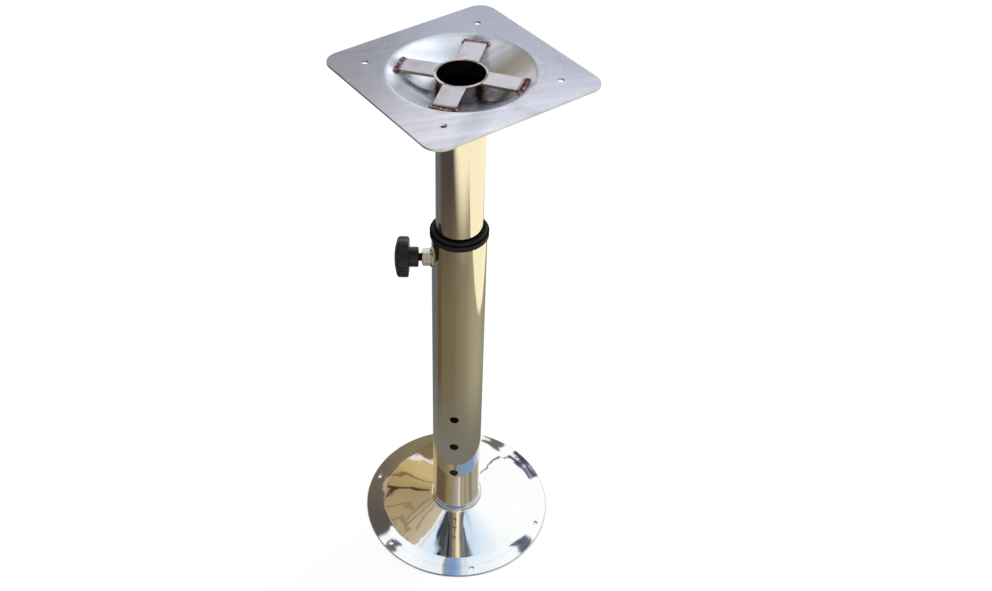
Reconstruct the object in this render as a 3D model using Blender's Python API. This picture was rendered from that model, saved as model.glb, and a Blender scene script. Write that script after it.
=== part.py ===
"""Telescoping seat pedestal: spun base, two polished tubes, guide collar, clamp screw and square seat plate.

Metres, +Z up, origin on the floor at the base's centre. The seat plate's sides lie along X and Y.
The column's axis is Z. The clamp's pieces are modelled along their own axis, outwards from the column.
"""

import math

import bmesh
import bpy
from mathutils import Matrix

# Fits between pieces
SEAT_GAP = 0.0003  # between pieces that are welded or seated together
RUN_GAP = 0.0003  # between pieces that slide or turn on each other

# Whole pedestal
SEAT_HEIGHT = 0.660  # from the floor to the seat plate's top, with the column half drawn out

# Base: one spun sheet, with six screw holes in its rim
BASE_DIAMETER = 0.238
BASE_SHEET = 0.0025
FOOT_LAND = 0.005  # width of the flat ring that the rim stands on
RIM_BAND = 0.021  # from the rim's edge to the crease
RIM_RISE = 0.0025  # how far the crease lies above the rim's edge
CONE_RISE = 0.0140  # from the crease up to the neck's foot
NECK_WALL = 0.0027
NECK_HEIGHT = 0.0057
EDGE_ROUND = 0.0008
BASE_HOLES = 6
BASE_HOLE_DIAMETER = 0.0056
BASE_HOLE_FLARE = 0.0007  # how much wider the hole's polished mouth is, all round
BASE_HOLE_INSET = 0.009  # from the rim's edge to the hole's centre
BASE_HOLE_CLOCKING = math.radians(5.2)

# Ribs under the cone
BASE_RIBS = 4
RIB_THICKNESS = 0.003
RIB_SETBACK = 0.020  # of its outer end, inwards from the crease
RIB_LIFT = 0.0012  # above the floor

# Inner tube
INNER_TUBE_DIAMETER = 0.0508
INNER_TUBE_WALL = 0.0015
INNER_TUBE_INSERTION = 0.163  # how far it reaches into the outer tube at that height

# Outer tube
TUBE_ROOM = 0.0026  # between the two tubes, for the plastic bushes
OUTER_TUBE_WALL = 0.0020
OUTER_TUBE_TOP = 0.4594  # above the floor
OUTER_TUBE_LIFT = 0.0012  # above the floor
PIN_HOLES = 3
PIN_HOLE_DIAMETER = 0.011
PIN_HOLE_PITCH = 0.04975
PIN_HOLE_FIRST = 0.095  # the lowest hole's height above the floor
PIN_HOLE_AZIMUTH = math.radians(-132.0)

# Guide collar and lower glide
COLLAR_OVERHANG = 0.0018  # past the outer tube's side
COLLAR_HEIGHT = 0.0103
COLLAR_TOP_ROUND = 0.0024
COLLAR_FOOT_ROUND = 0.0010
SLEEVE_ROOM = 0.006  # between the sleeve's end and the clamp screw's thread
BUSH_LEAD = 0.0005  # chamfer on the sleeve's and the glide's entering edges
GLIDE_HEIGHT = 0.026
GLIDE_LIP = 0.003  # thickness under the inner tube's foot
GLIDE_LIP_REACH = 0.0035  # inwards from the inner tube's side

# Seat plate: one sheet with a pressed dish
PLATE_SIDE = 0.198
PLATE_SHEET = 0.0025
PLATE_CORNER = 0.018
PLATE_HOLE_DIAMETER = 0.007
PLATE_HOLE_SPACING = 0.134
DISH_DIAMETER = 0.148
DISH_SHOULDER = 0.008  # bend radius at the dish's rim
DISH_SLOPE = math.radians(31.0)  # of the dish's wall
DISH_FLOOR_SLOPE = math.radians(5.0)  # of its floor, near the tube
DISH_FLOOR_WIDTH = 0.014  # from the inner tube to where wall and floor would meet
DISH_BEND = 0.020  # bend radius between wall and floor
TUBE_SETBACK = 0.0022  # the inner tube's mouth below the plate's top

# Gussets in the dish, set by hand between the welds, so their turns aren't quite even
GUSSET_WIDTH = 0.0235
GUSSET_THICKNESS = 0.003
GUSSET_EDGE = 0.0005
GUSSET_AZIMUTHS = [math.radians(degrees) for degrees in (41.0, 128.0, 219.5, 305.0)]

# Clamp screw
CLAMP_DROP = 0.0326  # from the outer tube's top down to the screw's axis
CLAMP_AZIMUTH = math.radians(144.3)
THREAD_DIAMETER = 0.0098
NUT_ACROSS_FLATS = 0.017
NUT_HEIGHT = 0.0102
NUT_CROWN = 0.0161  # diameter of its outer face, inside the chamfer
NUT_CLOCKING = math.radians(3.0)
PAD_DIAMETER = 0.0080
PAD_THICKNESS = 0.0030
PAD_SPIGOT_DIAMETER = 0.0040
PAD_SPIGOT_LENGTH = 0.0045
PAD_CHAMFER = 0.0004
THREAD_SHOWING = 0.0040  # between the nut and the knob's hub
STUD_CHAMFER = 0.0006
STUD_IN_KNOB = 0.0140

# Knob
KNOB_DIAMETER = 0.0452
KNOB_LOBES = 6
KNOB_FLUTE = 0.0026  # how deep the hollows between lobes are
KNOB_CLOCKING = math.radians(20.0)
HUB_DIAMETER = 0.0222
HUB_LENGTH = 0.0104
HUB_ROUND = 0.0012
HEAD_THICKNESS = 0.0130  # at the rim
HEAD_BACK_ROUND = 0.0022
HEAD_FRONT_ROUND = 0.0038
HEAD_DOME = 0.0030  # how far the face stands proud of the rim

# Smoothness
BASE_FACETS = 88
DISH_FACETS = 72
TUBE_FACETS = 64
COLLAR_FACETS = 56
SMALL_FACETS = 32
HOLE_FACETS = 24
KNOB_FACETS = 12 * KNOB_LOBES

# Worked out from the sizes above
BASE_RADIUS = BASE_DIAMETER / 2
INNER_RADIUS = INNER_TUBE_DIAMETER / 2
INNER_BORE = INNER_RADIUS - INNER_TUBE_WALL
INNER_TUBE_LENGTH = SEAT_HEIGHT - TUBE_SETBACK - OUTER_TUBE_TOP + INNER_TUBE_INSERTION
SLEEVE_LENGTH = CLAMP_DROP - THREAD_DIAMETER / 2 - SLEEVE_ROOM
OUTER_BORE = INNER_RADIUS + TUBE_ROOM
OUTER_RADIUS = OUTER_BORE + OUTER_TUBE_WALL
NECK_BORE = OUTER_RADIUS + SEAT_GAP
NECK_RADIUS = NECK_BORE + NECK_WALL
CREASE_RADIUS = BASE_RADIUS - RIM_BAND
CREASE_TOP = BASE_SHEET + RIM_RISE
NECK_FOOT = CREASE_TOP + CONE_RISE
CONE_SLOPE = CONE_RISE / (CREASE_RADIUS - NECK_RADIUS)
CLAMP_HEIGHT = OUTER_TUBE_TOP - CLAMP_DROP
NUT_FACE = OUTER_RADIUS + NUT_HEIGHT
HUB_FACE = NUT_FACE + THREAD_SHOWING
PAD_TIP = INNER_RADIUS + SEAT_GAP
STUD_TIP = PAD_TIP + PAD_THICKNESS + SEAT_GAP


def clear_scene() -> None:
    """Remove every object that the file starts with."""
    for obj in list(bpy.data.objects):
        bpy.data.objects.remove(obj, do_unlink=True)


def finish_of(name, colour, roughness, metallic):
    """A Principled material of one colour, roughness and metallic value."""
    material = bpy.data.materials.new(name)
    material.use_nodes = True
    shader = material.node_tree.nodes["Principled BSDF"]
    shader.inputs["Base Color"].default_value = (*colour, 1.0)
    shader.inputs["Roughness"].default_value = roughness
    shader.inputs["Metallic"].default_value = metallic
    return material


def outwards(azimuth):
    """The turn that points a piece's Z outwards along an azimuth and its Y upwards."""
    return (math.pi / 2, 0.0, azimuth + math.pi / 2)


def empty_at(name, location, rotation=(0.0, 0.0, 0.0)):
    """An empty that carries the pieces on one axis."""
    empty = bpy.data.objects.new(name, None)
    empty.location = location
    empty.rotation_euler = rotation
    bpy.context.scene.collection.objects.link(empty)
    return empty


def object_from(name, bm, finish=None, parent=None, location=(0.0, 0.0, 0.0), rotation=(0.0, 0.0, 0.0)):
    """Turn a bmesh into a smooth-shaded object. One with no finish is a cutter and stays out of the model."""
    mesh = bpy.data.meshes.new(name)
    bm.to_mesh(mesh)
    bm.free()
    mesh.shade_smooth()
    mesh.set_sharp_from_angle(angle=math.radians(30.0))
    obj = bpy.data.objects.new(name, mesh)
    obj.parent = parent
    obj.location = location
    obj.rotation_euler = rotation
    bpy.context.scene.collection.objects.link(obj)
    if finish:
        mesh.materials.append(finish)
    else:
        obj.hide_render = True
        obj.display_type = "WIRE"
    return obj


def boolean(target, other, operation="DIFFERENCE"):
    """Cut one object by another, or keep what they share."""
    modifier = target.modifiers.new(f"{operation.lower()}_{other.name}", "BOOLEAN")
    modifier.operation = operation
    modifier.solver = "EXACT"
    modifier.object = other


def turn(bm, outline, facets, place=None):
    """Spin a (radius, height) outline once round Z into bm, then move the new solid by the matrix place.

    An outline whose two ends lie on the axis makes a solid core, and any other closes on itself as a ring.
    """
    before = set(bm.verts)
    verts = [bm.verts.new((radius, 0.0, height)) for radius, height in outline]
    pairs = list(zip(verts, verts[1:]))
    if outline[0][0] > 0.0:
        pairs.append((verts[-1], verts[0]))
    edges = [bm.edges.new(pair) for pair in pairs]
    bmesh.ops.spin(
        bm,
        geom=verts + edges,
        cent=(0.0, 0.0, 0.0),
        axis=(0.0, 0.0, 1.0),
        angle=math.tau,
        steps=facets,
    )
    bmesh.ops.remove_doubles(bm, verts=[v for v in bm.verts if v not in before], dist=1e-7)
    made = [v for v in bm.verts if v not in before]
    faces = {face for vert in made for face in vert.link_faces}
    bmesh.ops.recalc_face_normals(bm, faces=list(faces))
    if place is not None:
        bmesh.ops.transform(bm, matrix=place, verts=made)


def turned(outline, facets):
    """A new bmesh that holds one turned solid."""
    bm = bmesh.new()
    turn(bm, outline, facets)
    return bm


def rod(radius, start, end):
    """The outline of a plain round rod along Z."""
    return [(0.0, start), (radius, start), (radius, end), (0.0, end)]


def arc(centre, radius, start, end, steps):
    """Points of an arc in the (radius, height) plane, from one angle in degrees to another."""
    turns = [math.radians(start + (end - start) * step / steps) for step in range(steps + 1)]
    return [(centre[0] + radius * math.cos(a), centre[1] + radius * math.sin(a)) for a in turns]


def cone_top(radius):
    """Height of the base cone's upper side at a radius."""
    return NECK_FOOT - (radius - NECK_RADIUS) * CONE_SLOPE


def base_flange(finish):
    """The spun base: foot land, sloping rim, crease, shallow cone and neck, with flared screw holes."""
    edge = (BASE_RADIUS - EDGE_ROUND, BASE_SHEET - EDGE_ROUND)
    neck_top = NECK_FOOT + NECK_HEIGHT
    outline = [
        (BASE_RADIUS - FOOT_LAND, 0.0),
        (BASE_RADIUS, 0.0),
        *arc(edge, EDGE_ROUND, 0.0, 90.0, 2),
        (CREASE_RADIUS, CREASE_TOP),
        (NECK_RADIUS, NECK_FOOT),
        *arc((NECK_RADIUS - EDGE_ROUND, neck_top - EDGE_ROUND), EDGE_ROUND, 0.0, 90.0, 2),
        (NECK_BORE, neck_top),
        (NECK_BORE, cone_top(NECK_BORE) - BASE_SHEET),
        (CREASE_RADIUS, CREASE_TOP - BASE_SHEET),
    ]
    flange = object_from("base_flange", turned(outline, BASE_FACETS), finish)

    hole_place = BASE_RADIUS - BASE_HOLE_INSET
    across_rim = (edge[0] - hole_place) / (edge[0] - CREASE_RADIUS)
    mouth = BASE_SHEET + RIM_RISE * across_rim
    hole_radius = BASE_HOLE_DIAMETER / 2
    hole = [
        (0.0, -BASE_SHEET),
        (hole_radius, -BASE_SHEET),
        (hole_radius, mouth - BASE_HOLE_FLARE),
        (hole_radius + 2 * BASE_HOLE_FLARE, mouth + BASE_HOLE_FLARE),
        (0.0, mouth + BASE_HOLE_FLARE),
    ]
    cutters = bmesh.new()
    for index in range(BASE_HOLES):
        azimuth = BASE_HOLE_CLOCKING + math.tau * index / BASE_HOLES
        place = Matrix.Rotation(azimuth, 4, "Z") @ Matrix.Translation((hole_place, 0.0, 0.0))
        turn(cutters, hole, HOLE_FACETS, place)
    boolean(flange, object_from("base_hole_cutters", cutters))


def base_ribs(finish):
    """Upright ribs from the outer tube's foot outwards, under the cone."""
    start = OUTER_RADIUS + SEAT_GAP
    end = CREASE_RADIUS - RIB_SETBACK
    under = BASE_SHEET + SEAT_GAP
    corners = [
        (start, RIB_LIFT),
        (end, RIB_LIFT),
        (end, cone_top(end) - under),
        (start, cone_top(start) - under),
    ]
    for index in range(BASE_RIBS):
        bm = bmesh.new()
        face = bm.faces.new([bm.verts.new((x, -RIB_THICKNESS / 2, z)) for x, z in corners])
        made = bmesh.ops.extrude_face_region(bm, geom=[face])["geom"]
        side = [item for item in made if isinstance(item, bmesh.types.BMVert)]
        bmesh.ops.translate(bm, verts=side, vec=(0.0, RIB_THICKNESS, 0.0))
        bmesh.ops.recalc_face_normals(bm, faces=bm.faces)
        azimuth = math.tau * index / BASE_RIBS
        object_from(f"base_rib_{index + 1}", bm, finish, rotation=(0.0, 0.0, azimuth))


def outer_tube(finish, clamp_axis):
    """The lower tube, with its row of pin holes and the hole that the clamp screw passes through."""
    length = OUTER_TUBE_TOP - OUTER_TUBE_LIFT
    wall = [(OUTER_BORE, 0.0), (OUTER_RADIUS, 0.0), (OUTER_RADIUS, length), (OUTER_BORE, length)]
    tube = object_from(
        "outer_tube", turned(wall, TUBE_FACETS), finish, location=(0.0, 0.0, OUTER_TUBE_LIFT)
    )
    through = (INNER_RADIUS, OUTER_RADIUS + OUTER_TUBE_WALL)
    pins = bmesh.new()
    for index in range(PIN_HOLES):
        place = Matrix.Translation((0.0, index * PIN_HOLE_PITCH, 0.0))
        turn(pins, rod(PIN_HOLE_DIAMETER / 2, *through), SMALL_FACETS, place)
    pin_cutters = object_from(
        "pin_hole_cutters",
        pins,
        location=(0.0, 0.0, PIN_HOLE_FIRST),
        rotation=outwards(PIN_HOLE_AZIMUTH),
    )
    screw_hole = rod(THREAD_DIAMETER / 2 + RUN_GAP, *through)
    screw_cutter = object_from("screw_hole_cutter", turned(screw_hole, SMALL_FACETS), parent=clamp_axis)
    boolean(tube, pin_cutters)
    boolean(tube, screw_cutter)


def guide_collar(finish):
    """The plastic collar on the outer tube's mouth: a thick round-edged flange and a thin sleeve."""
    bore = INNER_RADIUS + RUN_GAP
    sleeve = OUTER_BORE - SEAT_GAP
    rim = OUTER_RADIUS + COLLAR_OVERHANG
    foot = COLLAR_FOOT_ROUND
    top = COLLAR_TOP_ROUND
    outline = [
        (bore, -SLEEVE_LENGTH),
        (sleeve - BUSH_LEAD, -SLEEVE_LENGTH),
        (sleeve, -SLEEVE_LENGTH + BUSH_LEAD),
        (sleeve, 0.0),
        *arc((rim - foot, foot), foot, -90.0, 0.0, 2),
        *arc((rim - top, COLLAR_HEIGHT - top), top, 0.0, 90.0, 4),
        (bore + BUSH_LEAD, COLLAR_HEIGHT),
        (bore, COLLAR_HEIGHT - BUSH_LEAD),
    ]
    object_from(
        "guide_collar",
        turned(outline, COLLAR_FACETS),
        finish,
        location=(0.0, 0.0, OUTER_TUBE_TOP + SEAT_GAP),
    )


def inner_tube(finish, mast_axis):
    """The upper tube, open at its mouth, which slides and turns."""
    wall = [
        (INNER_BORE, -INNER_TUBE_LENGTH),
        (INNER_RADIUS, -INNER_TUBE_LENGTH),
        (INNER_RADIUS, 0.0),
        (INNER_BORE, 0.0),
    ]
    object_from(
        "inner_tube", turned(wall, TUBE_FACETS), finish, mast_axis, location=(0.0, 0.0, -TUBE_SETBACK)
    )


def lower_glide(finish, mast_axis):
    """The plastic ring round the inner tube's foot, with a lip that the foot stands on."""
    side = OUTER_BORE - RUN_GAP
    inside = INNER_RADIUS + RUN_GAP
    lip_bore = INNER_RADIUS - GLIDE_LIP_REACH
    foot = -SEAT_GAP - GLIDE_LIP
    outline = [
        (lip_bore, foot),
        (side - BUSH_LEAD, foot),
        (side, foot + BUSH_LEAD),
        (side, foot + GLIDE_HEIGHT),
        (inside, foot + GLIDE_HEIGHT),
        (inside, -SEAT_GAP),
        (lip_bore, -SEAT_GAP),
    ]
    object_from(
        "lower_glide",
        turned(outline, COLLAR_FACETS),
        finish,
        mast_axis,
        location=(0.0, 0.0, -TUBE_SETBACK - INNER_TUBE_LENGTH),
    )


def dish_wall_start():
    """The (radius, depth) where the shoulder's bend ends and the dish's straight wall begins."""
    rim = DISH_DIAMETER / 2
    return (
        rim - DISH_SHOULDER * math.sin(DISH_SLOPE),
        -DISH_SHOULDER * (1.0 - math.cos(DISH_SLOPE)),
    )


def dish_corner():
    """Where the lines of the dish's wall and floor would meet, before they are bent into each other."""
    wall = dish_wall_start()
    radius = INNER_RADIUS + SEAT_GAP + DISH_FLOOR_WIDTH
    return radius, wall[1] - math.tan(DISH_SLOPE) * (wall[0] - radius)


def dish_profile():
    """The dish's (radius, depth) points from its rim in to the inner tube."""
    rim = DISH_DIAMETER / 2
    slope = math.degrees(DISH_SLOPE)
    floor_slope = math.degrees(DISH_FLOOR_SLOPE)
    corner = dish_corner()
    half_turn = (DISH_SLOPE - DISH_FLOOR_SLOPE) / 2
    back_off = DISH_BEND * math.tan(half_turn)
    bend_start = (corner[0] + back_off * math.cos(DISH_SLOPE), corner[1] + back_off * math.sin(DISH_SLOPE))
    centre = (
        bend_start[0] - DISH_BEND * math.sin(DISH_SLOPE),
        bend_start[1] + DISH_BEND * math.cos(DISH_SLOPE),
    )
    shoulder = arc((rim, -DISH_SHOULDER), DISH_SHOULDER, 90.0, 90.0 + slope, 4)
    bend = arc(centre, DISH_BEND, -90.0 + slope, -90.0 + floor_slope, 4)
    hole = INNER_RADIUS + SEAT_GAP
    depth = corner[1] - math.tan(DISH_FLOOR_SLOPE) * DISH_FLOOR_WIDTH
    return [*shoulder, *bend, (hole, depth)]


def ring_of(bm, points):
    """New vertices through the points, joined in a closed loop of edges."""
    verts = [bm.verts.new(point) for point in points]
    edges = [bm.edges.new((verts[i - 1], verts[i])) for i in range(len(verts))]
    return verts, edges


def circle_points(radius, facets, centre=(0.0, 0.0), height=0.0):
    """Points round a level circle."""
    turns = [math.tau * step / facets for step in range(facets)]
    return [(centre[0] + radius * math.cos(a), centre[1] + radius * math.sin(a), height) for a in turns]


def rounded_square(side, corner, steps):
    """Points round a level square with round corners, anticlockwise."""
    points = []
    reach = side / 2 - corner
    for quarter, (x, y) in enumerate(((reach, reach), (-reach, reach), (-reach, -reach), (reach, -reach))):
        for step in range(steps + 1):
            a = math.pi / 2 * (quarter + step / steps)
            points.append((x + corner * math.cos(a), y + corner * math.sin(a), 0.0))
    return points


def seat_plate(finish, mast_axis):
    """The square plate: one sheet with bolt holes and a pressed dish, thickened downwards."""
    bm = bmesh.new()
    flat_edges = ring_of(bm, rounded_square(PLATE_SIDE, PLATE_CORNER, 8))[1]
    hole_at = PLATE_HOLE_SPACING / 2
    for x in (-hole_at, hole_at):
        for y in (-hole_at, hole_at):
            flat_edges += ring_of(bm, circle_points(PLATE_HOLE_DIAMETER / 2, HOLE_FACETS, (x, y)))[1]
    profile = dish_profile()
    ring, edges = ring_of(bm, circle_points(profile[0][0], DISH_FACETS))
    bmesh.ops.triangle_fill(bm, use_beauty=True, use_dissolve=False, edges=flat_edges + edges)
    for radius, depth in profile[1:]:
        lower = [bm.verts.new(point) for point in circle_points(radius, DISH_FACETS, height=depth)]
        for i in range(DISH_FACETS):
            bm.faces.new((lower[i - 1], ring[i - 1], ring[i], lower[i]))
        ring = lower
    bmesh.ops.recalc_face_normals(bm, faces=bm.faces)
    if sum(face.normal.z for face in bm.faces) < 0.0:
        bmesh.ops.reverse_faces(bm, faces=bm.faces)
    plate = object_from("seat_plate", bm, finish, mast_axis)
    sheet = plate.modifiers.new("sheet", "SOLIDIFY")
    sheet.thickness = PLATE_SHEET
    sheet.offset = -1.0
    sheet.use_even_offset = True


def gusset_end():
    """How far out a gusset's square end can reach before its lower corners meet the dish's wall."""
    wall = dish_wall_start()
    depth = -TUBE_SETBACK - GUSSET_THICKNESS - SEAT_GAP
    radius = wall[0] + (depth - wall[1]) / math.tan(DISH_SLOPE)
    return math.sqrt(radius**2 - (GUSSET_WIDTH / 2) ** 2)


def plate_gussets(finish, mast_axis):
    """Flat bars, level with the inner tube's mouth, from the tube's side out to the dish's wall."""
    cope_radius = INNER_RADIUS + SEAT_GAP
    depth = TUBE_SETBACK + 2 * GUSSET_THICKNESS
    cope = object_from("gusset_cope", turned(rod(cope_radius, -depth, depth), TUBE_FACETS), parent=mast_axis)
    start = INNER_RADIUS / 2
    length = gusset_end() - start
    bm = bmesh.new()
    bmesh.ops.create_cube(bm, size=1.0)
    bmesh.ops.scale(bm, vec=(length, GUSSET_WIDTH, GUSSET_THICKNESS), verts=bm.verts)
    bmesh.ops.translate(
        bm, vec=(start + length / 2, 0.0, -TUBE_SETBACK - GUSSET_THICKNESS / 2), verts=bm.verts
    )
    bmesh.ops.bevel(bm, geom=bm.edges, offset=GUSSET_EDGE, segments=1, affect="EDGES")
    for index, azimuth in enumerate(GUSSET_AZIMUTHS):
        bar = object_from(
            f"plate_gusset_{index + 1}", bm.copy(), finish, mast_axis, rotation=(0.0, 0.0, azimuth)
        )
        boolean(bar, cope)
    bm.free()


def weld_nut(finish, clamp_axis):
    """The hexagon nut, chamfered on its outer face and saddled to the outer tube's side."""
    half_flats = NUT_ACROSS_FLATS / 2
    half_corners = half_flats / math.cos(math.pi / 6)
    prism = bmesh.new()
    turn(prism, rod(half_corners, OUTER_BORE, NUT_FACE), 6, Matrix.Rotation(NUT_CLOCKING, 4, "Z"))
    nut = object_from("weld_nut", prism, finish, clamp_axis)

    past = half_corners + EDGE_ROUND
    crown = NUT_CROWN / 2
    chamfer = (past - crown) * math.tan(math.pi / 6)
    outline = [
        (0.0, INNER_BORE),
        (past, INNER_BORE),
        (past, NUT_FACE - chamfer),
        (crown, NUT_FACE),
        (0.0, NUT_FACE),
    ]
    chamfered = object_from("nut_chamfer", turned(outline, SMALL_FACETS), parent=clamp_axis)
    boolean(nut, chamfered, "INTERSECT")

    hole = rod(THREAD_DIAMETER / 2 + RUN_GAP, 0.0, NUT_FACE + NUT_HEIGHT)
    boolean(nut, object_from("nut_bore_cutter", turned(hole, SMALL_FACETS), parent=clamp_axis))

    saddle = turned(rod(OUTER_RADIUS + SEAT_GAP, -2 * NUT_ACROSS_FLATS, 2 * NUT_ACROSS_FLATS), TUBE_FACETS)
    bmesh.ops.rotate(saddle, cent=(0, 0, 0), matrix=Matrix.Rotation(math.pi / 2, 3, "X"), verts=saddle.verts)
    boolean(nut, object_from("nut_saddle_cutter", saddle, parent=clamp_axis))


def clamp_stud(finish, clamp_axis):
    """The clamp's stud, drilled at its tip for the pad's spigot."""
    radius = THREAD_DIAMETER / 2
    socket = PAD_SPIGOT_DIAMETER / 2 + SEAT_GAP
    end = HUB_FACE + STUD_IN_KNOB
    bottom = STUD_TIP + PAD_SPIGOT_LENGTH
    outline = [
        (0.0, bottom),
        (socket, bottom),
        (socket, STUD_TIP),
        (radius - STUD_CHAMFER, STUD_TIP),
        (radius, STUD_TIP + STUD_CHAMFER),
        (radius, end - STUD_CHAMFER),
        (radius - STUD_CHAMFER, end),
        (0.0, end),
    ]
    object_from("clamp_stud", turned(outline, SMALL_FACETS), finish, clamp_axis)


def thrust_pad(finish, clamp_axis):
    """The soft tip that presses on the inner tube, with a spigot in the stud."""
    radius = PAD_DIAMETER / 2
    spigot = PAD_SPIGOT_DIAMETER / 2
    back = PAD_TIP + PAD_THICKNESS
    end = back + PAD_SPIGOT_LENGTH
    outline = [
        (0.0, PAD_TIP),
        (radius - PAD_CHAMFER, PAD_TIP),
        (radius, PAD_TIP + PAD_CHAMFER),
        (radius, back),
        (spigot, back),
        (spigot, end),
        (0.0, end),
    ]
    object_from("thrust_pad", turned(outline, HOLE_FACETS), finish, clamp_axis)


def lobed_ring(bm, radius, height, flute):
    """A ring of vertices with a lobe at even turns and a rounded hollow of the given depth between each."""
    verts = []
    for step in range(KNOB_FACETS):
        a = math.tau * step / KNOB_FACETS
        hollow = (0.5 - 0.5 * math.cos(KNOB_LOBES * a)) ** 2
        r = radius - flute * hollow
        verts.append(bm.verts.new((r * math.cos(a), r * math.sin(a), height)))
    return verts


def clamp_knob(finish, clamp_axis):
    """The moulded knob: round hub, lobed head with a low dome, and a blind hole for the stud."""
    bore = THREAD_DIAMETER / 2 + SEAT_GAP
    bottom = HUB_FACE + STUD_IN_KNOB + SEAT_GAP
    hub = HUB_DIAMETER / 2
    back = HUB_FACE + HUB_LENGTH
    front = back + HEAD_THICKNESS
    rim = KNOB_DIAMETER / 2
    shoulder = rim - HEAD_FRONT_ROUND
    dome_steps = 3
    stations = [
        (bore, bottom, 0.0),
        (bore, HUB_FACE, 0.0),
        (hub - HUB_ROUND, HUB_FACE, 0.0),
        (hub, HUB_FACE + HUB_ROUND, 0.0),
        (hub, back - HUB_ROUND, 0.0),
        (hub + HUB_ROUND, back, 0.0),
        (rim - HEAD_BACK_ROUND, back, KNOB_FLUTE),
        (rim, back + HEAD_BACK_ROUND, KNOB_FLUTE),
    ]
    for radius, height in arc((shoulder, front - HEAD_FRONT_ROUND), HEAD_FRONT_ROUND, 0.0, 75.0, 4):
        stations.append((radius, height, KNOB_FLUTE * radius / rim))
    last_radius, last_height, last_flute = stations[-1]
    for step in range(1, dome_steps):
        share = 1.0 - step / dome_steps
        rise = HEAD_DOME * (1.0 - share**2)
        stations.append((last_radius * share, last_height + rise, last_flute * share**3))
    bm = bmesh.new()
    rings = [lobed_ring(bm, *station) for station in stations]
    for lower, upper in zip(rings, rings[1:]):
        for i in range(KNOB_FACETS):
            bm.faces.new((lower[i - 1], lower[i], upper[i], upper[i - 1]))
    hole_end = bm.verts.new((0.0, 0.0, bottom))
    apex = bm.verts.new((0.0, 0.0, last_height + HEAD_DOME))
    for i in range(KNOB_FACETS):
        bm.faces.new((rings[0][i], rings[0][i - 1], hole_end))
        bm.faces.new((rings[-1][i - 1], rings[-1][i], apex))
    bmesh.ops.recalc_face_normals(bm, faces=bm.faces)
    bmesh.ops.rotate(bm, cent=(0, 0, 0), matrix=Matrix.Rotation(KNOB_CLOCKING, 3, "Z"), verts=bm.verts)
    object_from("clamp_knob", bm, finish, clamp_axis)


def main():
    """Build the pedestal from the floor up."""
    clear_scene()
    polished = finish_of("polished_stainless", (0.80, 0.79, 0.77), 0.06, 1.0)
    brushed = finish_of("brushed_stainless", (0.66, 0.66, 0.69), 0.34, 1.0)
    bar_steel = finish_of("bar_steel", (0.68, 0.66, 0.68), 0.42, 1.0)
    bright = finish_of("bright_steel", (0.78, 0.77, 0.74), 0.18, 1.0)
    black = finish_of("black_plastic", (0.018, 0.018, 0.020), 0.38, 0.0)
    nylon = finish_of("nylon", (0.72, 0.70, 0.64), 0.45, 0.0)

    clamp_axis = empty_at("clamp_axis", (0.0, 0.0, CLAMP_HEIGHT), outwards(CLAMP_AZIMUTH))
    mast_axis = empty_at("mast_axis", (0.0, 0.0, SEAT_HEIGHT))

    base_flange(polished)
    base_ribs(bar_steel)
    outer_tube(polished, clamp_axis)
    guide_collar(black)
    inner_tube(polished, mast_axis)
    lower_glide(nylon, mast_axis)
    seat_plate(brushed, mast_axis)
    plate_gussets(bar_steel, mast_axis)
    weld_nut(bright, clamp_axis)
    clamp_stud(bright, clamp_axis)
    thrust_pad(nylon, clamp_axis)
    clamp_knob(black, clamp_axis)


main()
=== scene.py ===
"""Telescoping seat pedestal: polished skins, weld beads, thread and finishes, in a plain studio.

Metres, +Z up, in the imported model's own frame: the column's axis is Z and the floor is Z = 0.
"""

from __future__ import annotations

import logging
import math
import random
from collections.abc import Callable, Iterator, Sequence
from contextlib import contextmanager
from dataclasses import dataclass
from enum import Enum
from functools import cache, reduce

import bmesh
import bpy
from mathutils import Matrix, Vector


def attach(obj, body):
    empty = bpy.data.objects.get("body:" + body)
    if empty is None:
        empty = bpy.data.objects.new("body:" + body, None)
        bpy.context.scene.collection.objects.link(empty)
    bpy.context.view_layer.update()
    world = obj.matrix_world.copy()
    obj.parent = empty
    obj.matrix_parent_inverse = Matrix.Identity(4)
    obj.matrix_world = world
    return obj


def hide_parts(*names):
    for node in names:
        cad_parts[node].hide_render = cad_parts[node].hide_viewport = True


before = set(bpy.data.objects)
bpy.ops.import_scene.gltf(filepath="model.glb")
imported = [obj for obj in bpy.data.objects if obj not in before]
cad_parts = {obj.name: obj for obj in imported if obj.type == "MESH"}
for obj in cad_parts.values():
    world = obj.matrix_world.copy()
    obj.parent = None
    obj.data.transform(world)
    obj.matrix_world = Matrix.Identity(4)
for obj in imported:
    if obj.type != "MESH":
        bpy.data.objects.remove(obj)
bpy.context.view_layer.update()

LOG = logging.getLogger("pedestal")

Outline = list[tuple[float, float]]
Colour = tuple[float, float, float]

# Points nearer than this are one point
MERGE = 1e-6

# The gap that the solids leave between pieces that are welded together
SEAT_GAP = 0.0003


class Body(Enum):
    """The rigid bodies that pieces ride on."""

    COLUMN = "column"
    GLIDE = "glide"
    MAST = "mast"
    TIP = "clamp_tip"
    KNOB = "knob"


class Slot(Enum):
    """The record's material slots."""

    POLISHED = "polished_stainless"
    BRUSHED = "brushed_stainless"
    BAR = "bar_steel"
    BRIGHT = "bright_steel"
    BLACK = "black_plastic"
    NYLON = "nylon"


class Element(Enum):
    """What a selection in edit mode picks."""

    VERT = "VERT"
    EDGE = "EDGE"
    FACE = "FACE"


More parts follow.
